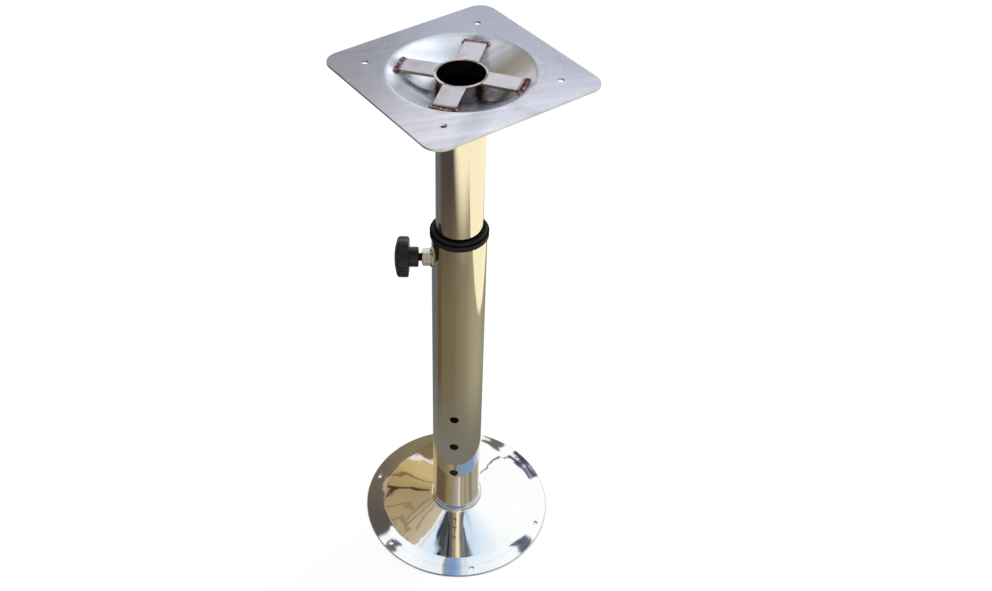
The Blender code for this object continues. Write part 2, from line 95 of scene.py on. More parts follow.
def linear(red: int, green: int, blue: int) -> Colour:
    """Turn a screen colour, 0 to 255 a channel, into the linear values that shaders take.

    Args:
        red: The red channel.
        green: The green channel.
        blue: The blue channel.

    Returns:
        The linear colour, 0 to 1 a channel.
    """
    shares = (channel / 255 for channel in (red, green, blue))
    return tuple(s / 12.92 if s <= 0.04045 else ((s + 0.055) / 1.055) ** 2.4 for s in shares)


def node_span(node: str, axis: Matrix | None = None) -> tuple[float, float, float]:
    """Measure a CAD node round an axis.

    Args:
        node: The CAD node's name.
        axis: The frame whose Z is the axis, or None for the column's own.

    Returns:
        Its outer radius, lowest height and highest height.
    """
    into = (axis or Matrix.Identity(4)).inverted()
    points = [into @ vertex.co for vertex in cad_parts[node].data.vertices]
    heights = [point.z for point in points]
    return max(math.hypot(point.x, point.y) for point in points), min(heights), max(heights)


def activate(piece: bpy.types.Object) -> None:
    """Make one piece the only selected and active object."""
    bpy.ops.object.select_all(action="DESELECT")
    piece.select_set(True)
    bpy.context.view_layer.objects.active = piece


@contextmanager
def editing(piece: bpy.types.Object, element: Element = Element.VERT) -> Iterator[None]:
    """Hold a piece in edit mode.

    Args:
        piece: The mesh to edit.
        element: What selections pick.

    Yields:
        Nothing, while the piece is in edit mode.
    """
    activate(piece)
    bpy.ops.object.mode_set(mode="EDIT")
    bpy.ops.mesh.select_mode(type=element.value)
    yield
    bpy.ops.object.mode_set(mode="OBJECT")


def pick(piece: bpy.types.Object, element: Element, test: Callable[[object], bool]) -> int:
    """Select in edit mode only the elements that pass a test.

    Args:
        piece: The mesh in edit mode.
        element: What to pick.
        test: Says whether one element is picked.

    Returns:
        How many were picked.
    """
    bpy.ops.mesh.select_all(action="DESELECT")
    mesh = bmesh.from_edit_mesh(piece.data)
    group = {Element.VERT: mesh.verts, Element.EDGE: mesh.edges, Element.FACE: mesh.faces}[element]
    picked = [item for item in group if test(item)]
    for item in picked:
        item.select_set(True)
    mesh.select_flush_mode()
    bmesh.update_edit_mesh(piece.data)
    return len(picked)


def apply(piece: bpy.types.Object, kind: str, **settings: object) -> None:
    """Add a modifier to a piece and apply it.

    Args:
        piece: The mesh to change.
        kind: The modifier's type.
        **settings: Values of the modifier's own properties.
    """
    activate(piece)
    modifier = piece.modifiers.new(kind.lower(), kind)
    for name, value in settings.items():
        setattr(modifier, name, value)
    bpy.ops.object.modifier_apply(modifier=modifier.name)


def smooth(piece: bpy.types.Object, degrees: float = 30.0) -> None:
    """Shade a piece smooth, with its edges sharp above an angle."""
    activate(piece)
    bpy.ops.object.shade_smooth_by_angle(angle=math.radians(degrees))


def arc(centre: tuple[float, float], radius: float, start: float, end: float, steps: int) -> Outline:
    """Points of an arc, from one angle in radians to another."""
    turns = [start + (end - start) * step / steps for step in range(steps + 1)]
    return [(centre[0] + radius * math.cos(turn), centre[1] + radius * math.sin(turn)) for turn in turns]


def filleted(corners: Sequence[tuple[float, float, float]], steps: int = 5, support: float = 0.0) -> Outline:
    """Round the corners of a closed outline.

    Args:
        corners: Each corner's radius, height and fillet radius.
        steps: How many edges each fillet has.
        support: Where above 0, a point is added this far past each fillet, to hold the flat beside it.

    Returns:
        The outline's points in order.
    """
    points: Outline = []
    for index, (radius, height, fillet) in enumerate(corners):
        here = Vector((radius, height))
        if fillet <= 0.0:
            points.append(here.to_tuple())
            continue
        back = (Vector(corners[index - 1][:2]) - here).normalized()
        on = (Vector(corners[(index + 1) % len(corners)][:2]) - here).normalized()
        half = back.angle(on) / 2
        centre = here + (back + on).normalized() * (fillet / math.sin(half))
        first = here + back * (fillet / math.tan(half)) - centre
        last = here + on * (fillet / math.tan(half)) - centre
        start = math.atan2(first.y, first.x)
        rounded = arc(centre.to_tuple(), fillet, start, start - last.angle_signed(first), steps)
        if support > 0.0:
            rounded.insert(0, (centre + first + back * support).to_tuple())
            rounded.append((centre + last + on * support).to_tuple())
        points += rounded
    return points


def drawn(name: str, outline: Outline, closed: bool = True) -> bpy.types.Object:
    """Draw an outline in the XZ plane by extruding one vertex from point to point.

    Args:
        name: The new object's name.
        outline: The points as (x, z).
        closed: Whether the last point joins the first.

    Returns:
        The object that holds the outline's edges.
    """
    bpy.ops.mesh.primitive_plane_add(size=0.001)
    piece = bpy.context.object
    piece.name = name
    with editing(piece):
        bpy.ops.mesh.select_all(action="SELECT")
        bpy.ops.mesh.merge(type="CENTER")
        bpy.ops.transform.translate(value=(outline[0][0], 0.0, outline[0][1]))
        for (x, z), (next_x, next_z) in zip(outline, outline[1:]):
            move = (next_x - x, 0.0, next_z - z)
            bpy.ops.mesh.extrude_vertices_move(TRANSFORM_OT_translate={"value": move})
        if closed:
            ends = [Vector((x, 0.0, z)) for x, z in (outline[0], outline[-1])]
            pick(piece, Element.VERT, lambda v: min((v.co - end).length for end in ends) < 0.1 * MERGE)
            bpy.ops.mesh.edge_face_add()
    return piece


def spun(
    name: str, outline: Outline, facets: int, closed: bool = True, turn: float = math.tau
) -> bpy.types.Object:
    """Spin an outline round Z, from +X on.

    Args:
        name: The new object's name.
        outline: The points as (radius, height).
        facets: How many facets the turn has.
        closed: Whether the outline is a closed ring.
        turn: How far it is spun, in radians.

    Returns:
        The turned object, closed and with its faces pointing outwards.
    """
    piece = drawn(name, outline, closed)
    with editing(piece):
        bpy.ops.mesh.select_all(action="SELECT")
        bpy.ops.mesh.spin(steps=facets, angle=turn, center=(0.0, 0.0, 0.0), axis=(0.0, 0.0, 1.0))
        bpy.ops.mesh.select_all(action="SELECT")
        bpy.ops.mesh.remove_doubles(threshold=MERGE)
        if turn < math.tau:
            bpy.ops.mesh.fill_holes(sides=0)
        bpy.ops.mesh.normals_make_consistent(inside=False)
    return piece


def reshape(piece: bpy.types.Object, rule: Callable[[float, float, float], float]) -> None:
    """Move each point of a turned piece in or out.

    Args:
        piece: The piece, turned round Z.
        rule: Gives the new radius from a point's radius, height and angle round Z.
    """
    for vertex in piece.data.vertices:
        radius = vertex.co.xy.length
        if radius > MERGE:
            share = rule(radius, vertex.co.z, math.atan2(vertex.co.y, vertex.co.x)) / radius
            vertex.co.xy *= share
    piece.data.update()


def combine(piece: bpy.types.Object, other: bpy.types.Object, operation: str = "DIFFERENCE") -> None:
    """Cut a piece by another, or unite them, and remove the other."""
    apply(piece, "BOOLEAN", operation=operation, solver="EXACT", object=other)
    bpy.data.objects.remove(other, do_unlink=True)


def place_mesh(piece: bpy.types.Object, matrix: Matrix) -> None:
    """Move a piece's mesh, with its object left at the origin."""
    piece.data.transform(matrix)
    piece.data.update()


def joined(name: str, pieces: Sequence[bpy.types.Object]) -> bpy.types.Object:
    """Join several meshes into one object.

    Args:
        name: The joined object's name.
        pieces: The meshes, of which the first one takes in the others.

    Returns:
        The joined object.
    """
    bpy.ops.object.select_all(action="DESELECT")
    for piece in pieces:
        piece.select_set(True)
    bpy.context.view_layer.objects.active = pieces[0]
    bpy.ops.object.join()
    pieces[0].name = name
    return pieces[0]


def lathe_normals(piece: bpy.types.Object, band: float = 0.001, beyond: float = 0.0) -> None:
    """Give the straight bands of a turned piece their exact normals, so that a mirror finish shows no facets.

    Args:
        piece: A piece that was turned round Z and perhaps cut.
        band: How long a face's outline stretch is, at least, to count as a straight band.
        beyond: Faces that reach inside this radius are left as they are.
    """
    most_lean = 0.02
    mesh = piece.data
    normals = [corner.vector.copy() for corner in mesh.corner_normals]
    for face in mesh.polygons:
        corners = [mesh.vertices[index].co for index in face.vertices]
        radii = [math.hypot(point.x, point.y) for point in corners]
        heights = [point.z for point in corners]
        if min(radii) < beyond or math.hypot(max(radii) - min(radii), max(heights) - min(heights)) < band:
            continue
        out = Vector((face.center.x, face.center.y, 0.0)).normalized()
        # Faces of a drilled hole's wall don't face along the turned surface's own normal
        across = face.normal.cross(Vector((0.0, 0.0, 1.0))).dot(out)
        if abs(across) > most_lean:
            continue
        lean = face.normal.dot(out)
        for loop in face.loop_indices:
            point = mesh.vertices[mesh.loops[loop].vertex_index].co
            around = Vector((point.x, point.y, 0.0)).normalized()
            normals[loop] = around * lean + Vector((0.0, 0.0, face.normal.z))
    mesh.normals_split_custom_set(normals)


def refined(node: str, round_edges: float = 0.0, degrees: float = 30.0) -> bpy.types.Object:
    """Copy a CAD node as one welded mesh with rounded edges.

    Args:
        node: The CAD node's name.
        round_edges: The width of the rounding on sharp edges, or 0 for none.
        degrees: The angle above which an edge is sharp.

    Returns:
        The new piece, smooth-shaded.
    """
    piece = bpy.data.objects.new(f"{node}_skin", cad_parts[node].data.copy())
    bpy.context.scene.collection.objects.link(piece)
    with editing(piece):
        bpy.ops.mesh.select_all(action="SELECT")
        bpy.ops.mesh.remove_doubles(threshold=MERGE)
        # The solids' flats come as triangles, and a bevel needs them whole
        bpy.ops.mesh.dissolve_limited(angle_limit=math.radians(0.4))
    if round_edges > 0.0:
        apply(
            piece,
            "BEVEL",
            width=round_edges,
            segments=2,
            limit_method="ANGLE",
            angle_limit=math.radians(degrees),
            use_clamp_overlap=True,
        )
    smooth(piece, degrees)
    apply(piece, "WEIGHTED_NORMAL", keep_sharp=True)
    return piece


@cache
def weld_lumps() -> bpy.types.Texture:
    """The texture that makes weld beads uneven."""
    texture = bpy.data.textures.new("weld_lumps", "CLOUDS")
    texture.noise_scale = 0.0016
    texture.noise_depth = 3
    return texture


def bead(
    name: str, path: Sequence[Vector], radius: float, seed: int, closed: bool = False
) -> bpy.types.Object:
    """Lay a weld bead: a strand with the ripples of a hand weld, roughened and made a mesh.

    Args:
        name: The new object's name.
        path: Points along the bead's middle, a fraction of a millimetre apart.
        radius: Its half width.
        seed: Sets its unevenness.
        closed: Whether it runs round to its start.

    Returns:
        The bead.
    """
    points_a_ripple = 4
    ripple = 0.15
    unevenness = 0.10
    chance = random.Random(seed)
    curve = bpy.data.curves.new(name, "CURVE")
    curve.dimensions = "3D"
    curve.bevel_depth = radius
    curve.bevel_resolution = 3
    curve.use_fill_caps = not closed
    spline = curve.splines.new("POLY")
    spline.points.add(len(path) - 1)
    spline.use_cyclic_u = closed
    ripples = max(1, round(len(path) / points_a_ripple))
    for index, (point, place) in enumerate(zip(spline.points, path)):
        from_end = min(index, len(path) - 1 - index)
        taper = 1.0 if closed else min(1.0, 0.4 + 0.3 * from_end)
        wave = ripple * math.sin(math.tau * ripples * index / len(path))
        point.co = (*place, 1.0)
        point.radius = taper * (1.0 + wave + chance.uniform(-unevenness, unevenness))
    piece = bpy.data.objects.new(name, curve)
    bpy.context.scene.collection.objects.link(piece)
    activate(piece)
    bpy.ops.object.convert(target="MESH")
    piece = bpy.context.object
    with editing(piece):
        bpy.ops.mesh.select_all(action="SELECT")
        bpy.ops.mesh.remove_doubles(threshold=MERGE)
        bpy.ops.mesh.normals_make_consistent(inside=False)
    apply(piece, "DISPLACE", texture=weld_lumps(), strength=0.6 * radius, mid_level=0.5)
    smooth(piece, 80.0)
    return piece


def settle(
    piece: bpy.types.Object,
    body: Body,
    finish: bpy.types.Material,
    stands_for: Sequence[str] = (),
) -> bpy.types.Object:
    """Dress a finished piece and set it on its body.

    Args:
        piece: The piece, with its place in its mesh.
        body: The body that it rides on.
        finish: Its material.
        stands_for: The CAD nodes that it replaces.

    Returns:
        The same piece.
    """
    piece.data.materials.clear()
    piece.data.materials.append(finish)
    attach(piece, body.value)
    if stands_for:
        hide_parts(*stands_for)
    LOG.info("%s: %d faces on %s", piece.name, len(piece.data.polygons), body.value)
    return piece


class Wiring:
    """A node tree that is being wired."""

    def __init__(self, tree: bpy.types.NodeTree) -> None:
        """Start on a tree."""
        self.tree = tree

    def add(
        self, kind: str, inputs: dict[str | int, object] | None = None, **settings: object
    ) -> bpy.types.Node:
        """Add a node, set its properties, and set or link its inputs.

        Args:
            kind: The node's type, without its ShaderNode prefix.
            inputs: Each input's value, or the socket that feeds it.
            **settings: Values of the node's own properties.

        Returns:
            The new node.
        """
        node = self.tree.nodes.new(f"ShaderNode{kind}")
        for name, value in settings.items():
            setattr(node, name, value)
        for name, value in (inputs or {}).items():
            self.feed(node.inputs[name], value)
        return node

    def feed(self, socket: bpy.types.NodeSocket, value: object) -> None:
        """Link a socket to another, or set its own value.

        Args:
            socket: The input.
            value: A socket to link, a colour without its alpha, or a plain value.
        """
        if isinstance(value, bpy.types.NodeSocket):
            self.tree.links.new(value, socket)
        elif socket.type == "RGBA" and len(value) == 3:
            socket.default_value = (*value, 1.0)
        else:
            socket.default_value = value

    def math(self, operation: str, *values: object, clamp: bool = False) -> bpy.types.NodeSocket:
        """The result of a Math node."""
        inputs = dict(enumerate(values))
        return self.add("Math", inputs, operation=operation, use_clamp=clamp).outputs[0]

    def product(self, *values: object) -> bpy.types.NodeSocket:
        """All the values multiplied, from the first on."""
        return reduce(lambda total, value: self.math("MULTIPLY", total, value), values)

    def vector_math(self, operation: str, *values: object) -> bpy.types.Node:
        """A Vector Math node on the given inputs."""
        return self.add("VectorMath", dict(enumerate(values)), operation=operation)

    def blend(self, factor: object, first: object, second: object, mode: str = "MIX") -> bpy.types.NodeSocket:
        """The result of a colour Mix node."""
        inputs = {0: factor, 6: first, 7: second}
        return self.add("Mix", inputs, data_type="RGBA", blend_type=mode).outputs[2]

    def layer(self, under: object, over: object, mask: object, share: float) -> bpy.types.NodeSocket:
        """A colour laid over another where a mask says, and at most by a share."""
        return self.blend(self.math("MULTIPLY", mask, share), under, over)

    def remap(
        self, value: object, low: float, high: float, start: float = 0.0, end: float = 1.0
    ) -> bpy.types.NodeSocket:
        """A value moved smoothly from one range to another, and held at its ends."""
        inputs = {"Value": value, "From Min": low, "From Max": high, "To Min": start, "To Max": end}
        return self.add("MapRange", inputs, interpolation_type="SMOOTHSTEP").outputs["Result"]

    def ramp(self, value: object, stops: Sequence[tuple[float, Colour]]) -> bpy.types.NodeSocket:
        """A colour looked up along a ramp.

        Args:
            value: The place along the ramp, 0 to 1.
            stops: Each stop's position and colour, in order.

        Returns:
            The colour.
        """
        node = self.add("ValToRGB", {"Fac": value})
        elements = node.color_ramp.elements
        while len(elements) < len(stops):
            elements.new(1.0)
        for element, (position, colour) in zip(elements, stops):
            element.position = position
            element.color = (*colour, 1.0)
        return node.outputs["Color"]

    def noise(
        self, vector: object, scale: float, detail: float = 3.0, distortion: float = 0.0
    ) -> bpy.types.NodeSocket:
        """The value of a Noise texture."""
        inputs = {"Vector": vector, "Scale": scale, "Detail": detail, "Distortion": distortion}
        return self.add("TexNoise", inputs).outputs["Fac"]

    def sway(self, vector: object, scale: float, detail: float, height: float) -> bpy.types.NodeSocket:
        """Noise round 0, of the given height."""
        return self.math("MULTIPLY", self.math("SUBTRACT", self.noise(vector, scale, detail), 0.5), height)

    def place(self) -> bpy.types.NodeSocket:
        """The point's place in its object's own space."""
        return self.add("TexCoord").outputs["Object"]

    def group(self, tree: bpy.types.NodeTree, inputs: dict[str, object]) -> bpy.types.Node:
        """Place a node group, with its inputs set or linked."""
        node = self.add("Group", node_tree=tree)
        for name, value in inputs.items():
            self.feed(node.inputs[name], value)
        return node

    def ends(self) -> tuple[bpy.types.bpy_prop_collection, bpy.types.bpy_prop_collection]:
        """Add a group's own input and output nodes, and give their sockets."""
        return self.tree.nodes.new("NodeGroupInput").outputs, self.tree.nodes.new("NodeGroupOutput").inputs

    def split(self, vector: object) -> tuple[bpy.types.NodeSocket, ...]:
        """The three parts of a vector."""
        return tuple(self.add("SeparateXYZ", {0: vector}).outputs)

    def radius_height(self, vector: object) -> tuple[bpy.types.NodeSocket, bpy.types.NodeSocket]:
        """A point's distance from the Z axis, and its height."""
        x, y, z = self.split(vector)
        flat = self.add("CombineXYZ", {0: x, 1: y}).outputs[0]
        return self.vector_math("LENGTH", flat).outputs["Value"], z

    def bump(self, height: object, distance: object, normal: object = None) -> bpy.types.NodeSocket:
        """The normal of a surface raised by a height, over another normal where one is given.

        Args:
            height: The height, 0 to 1.
            distance: How far, in metres, a height of 1 stands out, as a number or a socket.
            normal: The normal to start from, or None.

        Returns:
            The new normal.
        """
        inputs = {"Height": height, "Distance": distance, "Strength": 1.0}
        if normal is not None:
            inputs["Normal"] = normal
        return self.add("Bump", inputs).outputs[0]

    def turned(self, vector: object, along: float, around: float) -> bpy.types.NodeSocket:
        """Noise coordinates that run round the Z axis without a seam.

        Args:
            vector: The point.
            along: The scale across the turned lines.
            around: The scale along them.

        Returns:
            The coordinates.
        """
        x, y, z = self.split(vector)
        flat = self.add("CombineXYZ", {0: x, 1: y}).outputs[0]
        radius = self.vector_math("LENGTH", flat).outputs["Value"]
        ring_x, ring_y, _ = self.split(self.vector_math("NORMALIZE", flat).outputs[0])
        height = self.math("MULTIPLY", self.math("ADD", radius, z), along)
        across_x = self.math("MULTIPLY", ring_x, around)
        across_y = self.math("MULTIPLY", ring_y, around)
        return self.add("CombineXYZ", {0: across_x, 1: across_y, 2: height}).outputs[0]


def new_group(
    name: str, inputs: Sequence[tuple[str, str, object]], outputs: Sequence[tuple[str, str]]
) -> Wiring:
    """Start a shader node group with named sockets.

    Args:
        name: The group's name.
        inputs: Each input's name, socket type and default value.
        outputs: Each output's name and socket type.

    Returns:
        The wiring of the group's tree.
    """
    tree = bpy.data.node_groups.new(name, "ShaderNodeTree")
    for label, kind, value in inputs:
        socket = tree.interface.new_socket(label, in_out="INPUT", socket_type=kind)
        socket.default_value = value
    for label, kind in outputs:
        tree.interface.new_socket(label, in_out="OUTPUT", socket_type=kind)
    return Wiring(tree)


@cache
def brushed_grain() -> bpy.types.NodeTree:
    """A group that draws the fine parallel lines of a brushed sheet.

    Returns:
        The group: Vector, Turn and Fineness in; Height and Streaks out.
    """
    inputs = [
        ("Vector", "NodeSocketVector", (0.0, 0.0, 0.0)),
        ("Turn", "NodeSocketFloat", 0.0),
        ("Fineness", "NodeSocketFloat", 1600.0),
    ]
    outputs = [("Height", "NodeSocketFloat"), ("Streaks", "NodeSocketFloat")]
    wiring = new_group("brushed_grain", inputs, outputs)
    given, result = wiring.ends()
    turned = wiring.add(
        "VectorRotate", {"Vector": given["Vector"], "Angle": given["Turn"]}, rotation_type="Z_AXIS"
    ).outputs[0]
    # The lines are about 80 times as long as they are wide
    along = wiring.product(given["Fineness"], 0.012)
    scales = wiring.add("CombineXYZ", {0: along, 1: given["Fineness"], 2: along}).outputs[0]
    lines = wiring.vector_math("MULTIPLY", turned, scales).outputs[0]
    wiring.feed(result["Height"], wiring.noise(lines, 1.0, 4.0))
    wiring.feed(result["Streaks"], wiring.remap(wiring.noise(lines, 0.08, 3.0), 0.32, 0.68))
    return wiring.tree


@cache
def hairlines() -> bpy.types.NodeTree:
    """A group that draws loose scratches in two directions.

    Returns:
        The group: Vector and Scale in; Mask out.
    """
    inputs = [("Vector", "NodeSocketVector", (0.0, 0.0, 0.0)), ("Scale", "NodeSocketFloat", 60.0)]
    wiring = new_group("hairlines", inputs, [("Mask", "NodeSocketFloat")])
    given, result = wiring.ends()
    scaled = wiring.vector_math("SCALE", given["Vector"])
    wiring.feed(scaled.inputs["Scale"], given["Scale"])
    total = None
    for turn, stretch in ((0.4, 14.0), (1.9, 22.0), (2.7, 9.0)):
        rotated = wiring.add(
            "VectorRotate", {"Vector": scaled.outputs[0], "Angle": turn}, rotation_type="Z_AXIS"
        ).outputs[0]
        drawn_out = wiring.vector_math("MULTIPLY", rotated, (1.0, stretch, 1.0)).outputs[0]
        value = wiring.noise(drawn_out, 1.0, 1.0, 0.3)
        middle = wiring.math("ABSOLUTE", wiring.math("SUBTRACT", value, 0.5))
        line = wiring.remap(middle, 0.0, 0.012, 1.0, 0.0)
        broken = wiring.remap(wiring.noise(rotated, 0.9 + turn, 2.0), 0.52, 0.62)
        part = wiring.product(line, broken)
        total = part if total is None else wiring.math("MAXIMUM", total, part)
    wiring.feed(result["Mask"], total)
    return wiring.tree


@cache
def smudges() -> bpy.types.NodeTree:
    """A group that draws soft wiping marks and stains.

    Returns:
        The group: Vector and Scale in; Mask out.
    """
    inputs = [("Vector", "NodeSocketVector", (0.0, 0.0, 0.0)), ("Scale", "NodeSocketFloat", 20.0)]
    wiring = new_group("smudges", inputs, [("Mask", "NodeSocketFloat")])
    given, result = wiring.ends()
    cloud = wiring.noise(given["Vector"], given["Scale"], 5.0, 0.6)
    wiring.feed(result["Mask"], wiring.remap(cloud, 0.42, 0.72))
    return wiring.tree


@cache
def heat_tint() -> bpy.types.NodeTree:
    """A group that gives the colours that welding leaves on steel, by the distance from the weld.

    Returns:
        The group: Distance and Reach in metres and Vector in; Colour and Mask out.
    """
    inputs = [
        ("Distance", "NodeSocketFloat", 0.0),
        ("Reach", "NodeSocketFloat", 0.006),
        ("Vector", "NodeSocketVector", (0.0, 0.0, 0.0)),
    ]
    wiring = new_group("heat_tint", inputs, [("Colour", "NodeSocketColor"), ("Mask", "NodeSocketFloat")])
    given, result = wiring.ends()
    share = wiring.math("DIVIDE", given["Distance"], given["Reach"])
    uneven = wiring.math("ADD", share, wiring.sway(given["Vector"], 260.0, 3.0, 0.5))
    stops = [
        (0.0, linear(70, 44, 36)),
        (0.18, linear(118, 66, 50)),
        (0.34, linear(108, 92, 128)),
        (0.55, linear(150, 158, 190)),
        (0.78, linear(206, 188, 150)),
        (1.0, linear(205, 203, 205)),
    ]
    wiring.feed(result["Colour"], wiring.ramp(uneven, stops))
    wiring.feed(result["Mask"], wiring.remap(uneven, 0.25, 1.0, 1.0, 0.0))
    return wiring.tree


def new_material(name: str) -> tuple[bpy.types.Material, Wiring, bpy.types.Node]:
    """Start a material.

    Args:
        name: The material's name.

    Returns:
        The material, the wiring of its tree, and its Principled shader.
    """
    material = bpy.data.materials.new(name)
    material.use_nodes = True
    return material, Wiring(material.node_tree), material.node_tree.nodes["Principled BSDF"]


@dataclass(frozen=True)
class PolishedStainless:
    """Mirror-polished stainless steel, bare and dull inside a tube, browned by heat near its top weld."""

    name: str
    colour: Colour = (0.80, 0.79, 0.77)
    stain: Colour = (0.98, 0.975, 0.97)
    brown: Colour = linear(122, 92, 66)
    bare_colour: Colour = linear(104, 96, 78)
    roughness: float = 0.035
    wave_scale: float = 28.0
    wave_height: float = 0.00004
    line_height: float = 0.0000006
    ring_height: float = 0.0
    marks: float = 0.035
    bare_within: float = 0.0
    heated_from: float = 9.0
    mouth: float = 10.0

    def material(self) -> bpy.types.Material:
        """Build the material.

        Returns:
            The new material.
        """
        material, wiring, shader = new_material(self.name)
        place = wiring.place()
        radius, height = wiring.radius_height(place)
        bare = wiring.remap(radius, self.bare_within, self.bare_within + 0.0003, 1.0, 0.0)
        heated = self.heated(wiring, place, height)
        marks = wiring.group(smudges(), {"Vector": place, "Scale": 34.0}).outputs["Mask"]
        scratches = wiring.group(hairlines(), {"Vector": place, "Scale": 55.0}).outputs["Mask"]
        smudged = wiring.product(marks, self.marks)
        dull = wiring.math("ADD", smudged, wiring.product(scratches, 2.5 * self.marks))
        sheen = wiring.math("ADD", dull, self.roughness)
        warmed = wiring.math("ADD", sheen, wiring.product(heated, 0.16))
        rough = wiring.math("ADD", warmed, wiring.product(bare, 0.4))
        wiring.feed(shader.inputs["Roughness"], rough)
        stained = tuple(channel * share for channel, share in zip(self.colour, self.stain))
        polished = wiring.blend(marks, self.colour, stained)
        browned = wiring.layer(polished, self.brown, heated, 0.85)
        wiring.feed(shader.inputs["Base Color"], wiring.blend(bare, browned, self.bare_colour))
        shader.inputs["Metallic"].default_value = 1.0
        # Broad waves, the rings that spinning leaves, and fine polishing lines, one over another
        broad = wiring.bump(wiring.noise(place, self.wave_scale, 1.5), self.wave_height)
        ringed = wiring.noise(wiring.turned(place, 75.0, 2.5), 1.0, 1.0)
        rings = wiring.bump(ringed, self.ring_height, broad)
        lines = wiring.noise(wiring.turned(place, 2600.0, 3.0), 1.0, 3.0)
        wiring.feed(shader.inputs["Normal"], wiring.bump(lines, self.line_height, rings))
        return material

    def heated(self, wiring: Wiring, place: object, height: object) -> bpy.types.NodeSocket:
        """Where welding has browned the steel: a blotchy band that stops just below the tube's mouth.

        Args:
            wiring: The material's wiring.
            place: The point.
            height: Its height.

        Returns:
            The mask.
        """
        blotched = wiring.math("ADD", height, wiring.sway(place, 240.0, 3.0, 0.008))
        band = wiring.remap(blotched, self.heated_from, self.heated_from + 0.008)
        below = wiring.remap(height, self.mouth - 0.0006, self.mouth - 0.0002, 1.0, 0.0)
        return wiring.product(band, below)


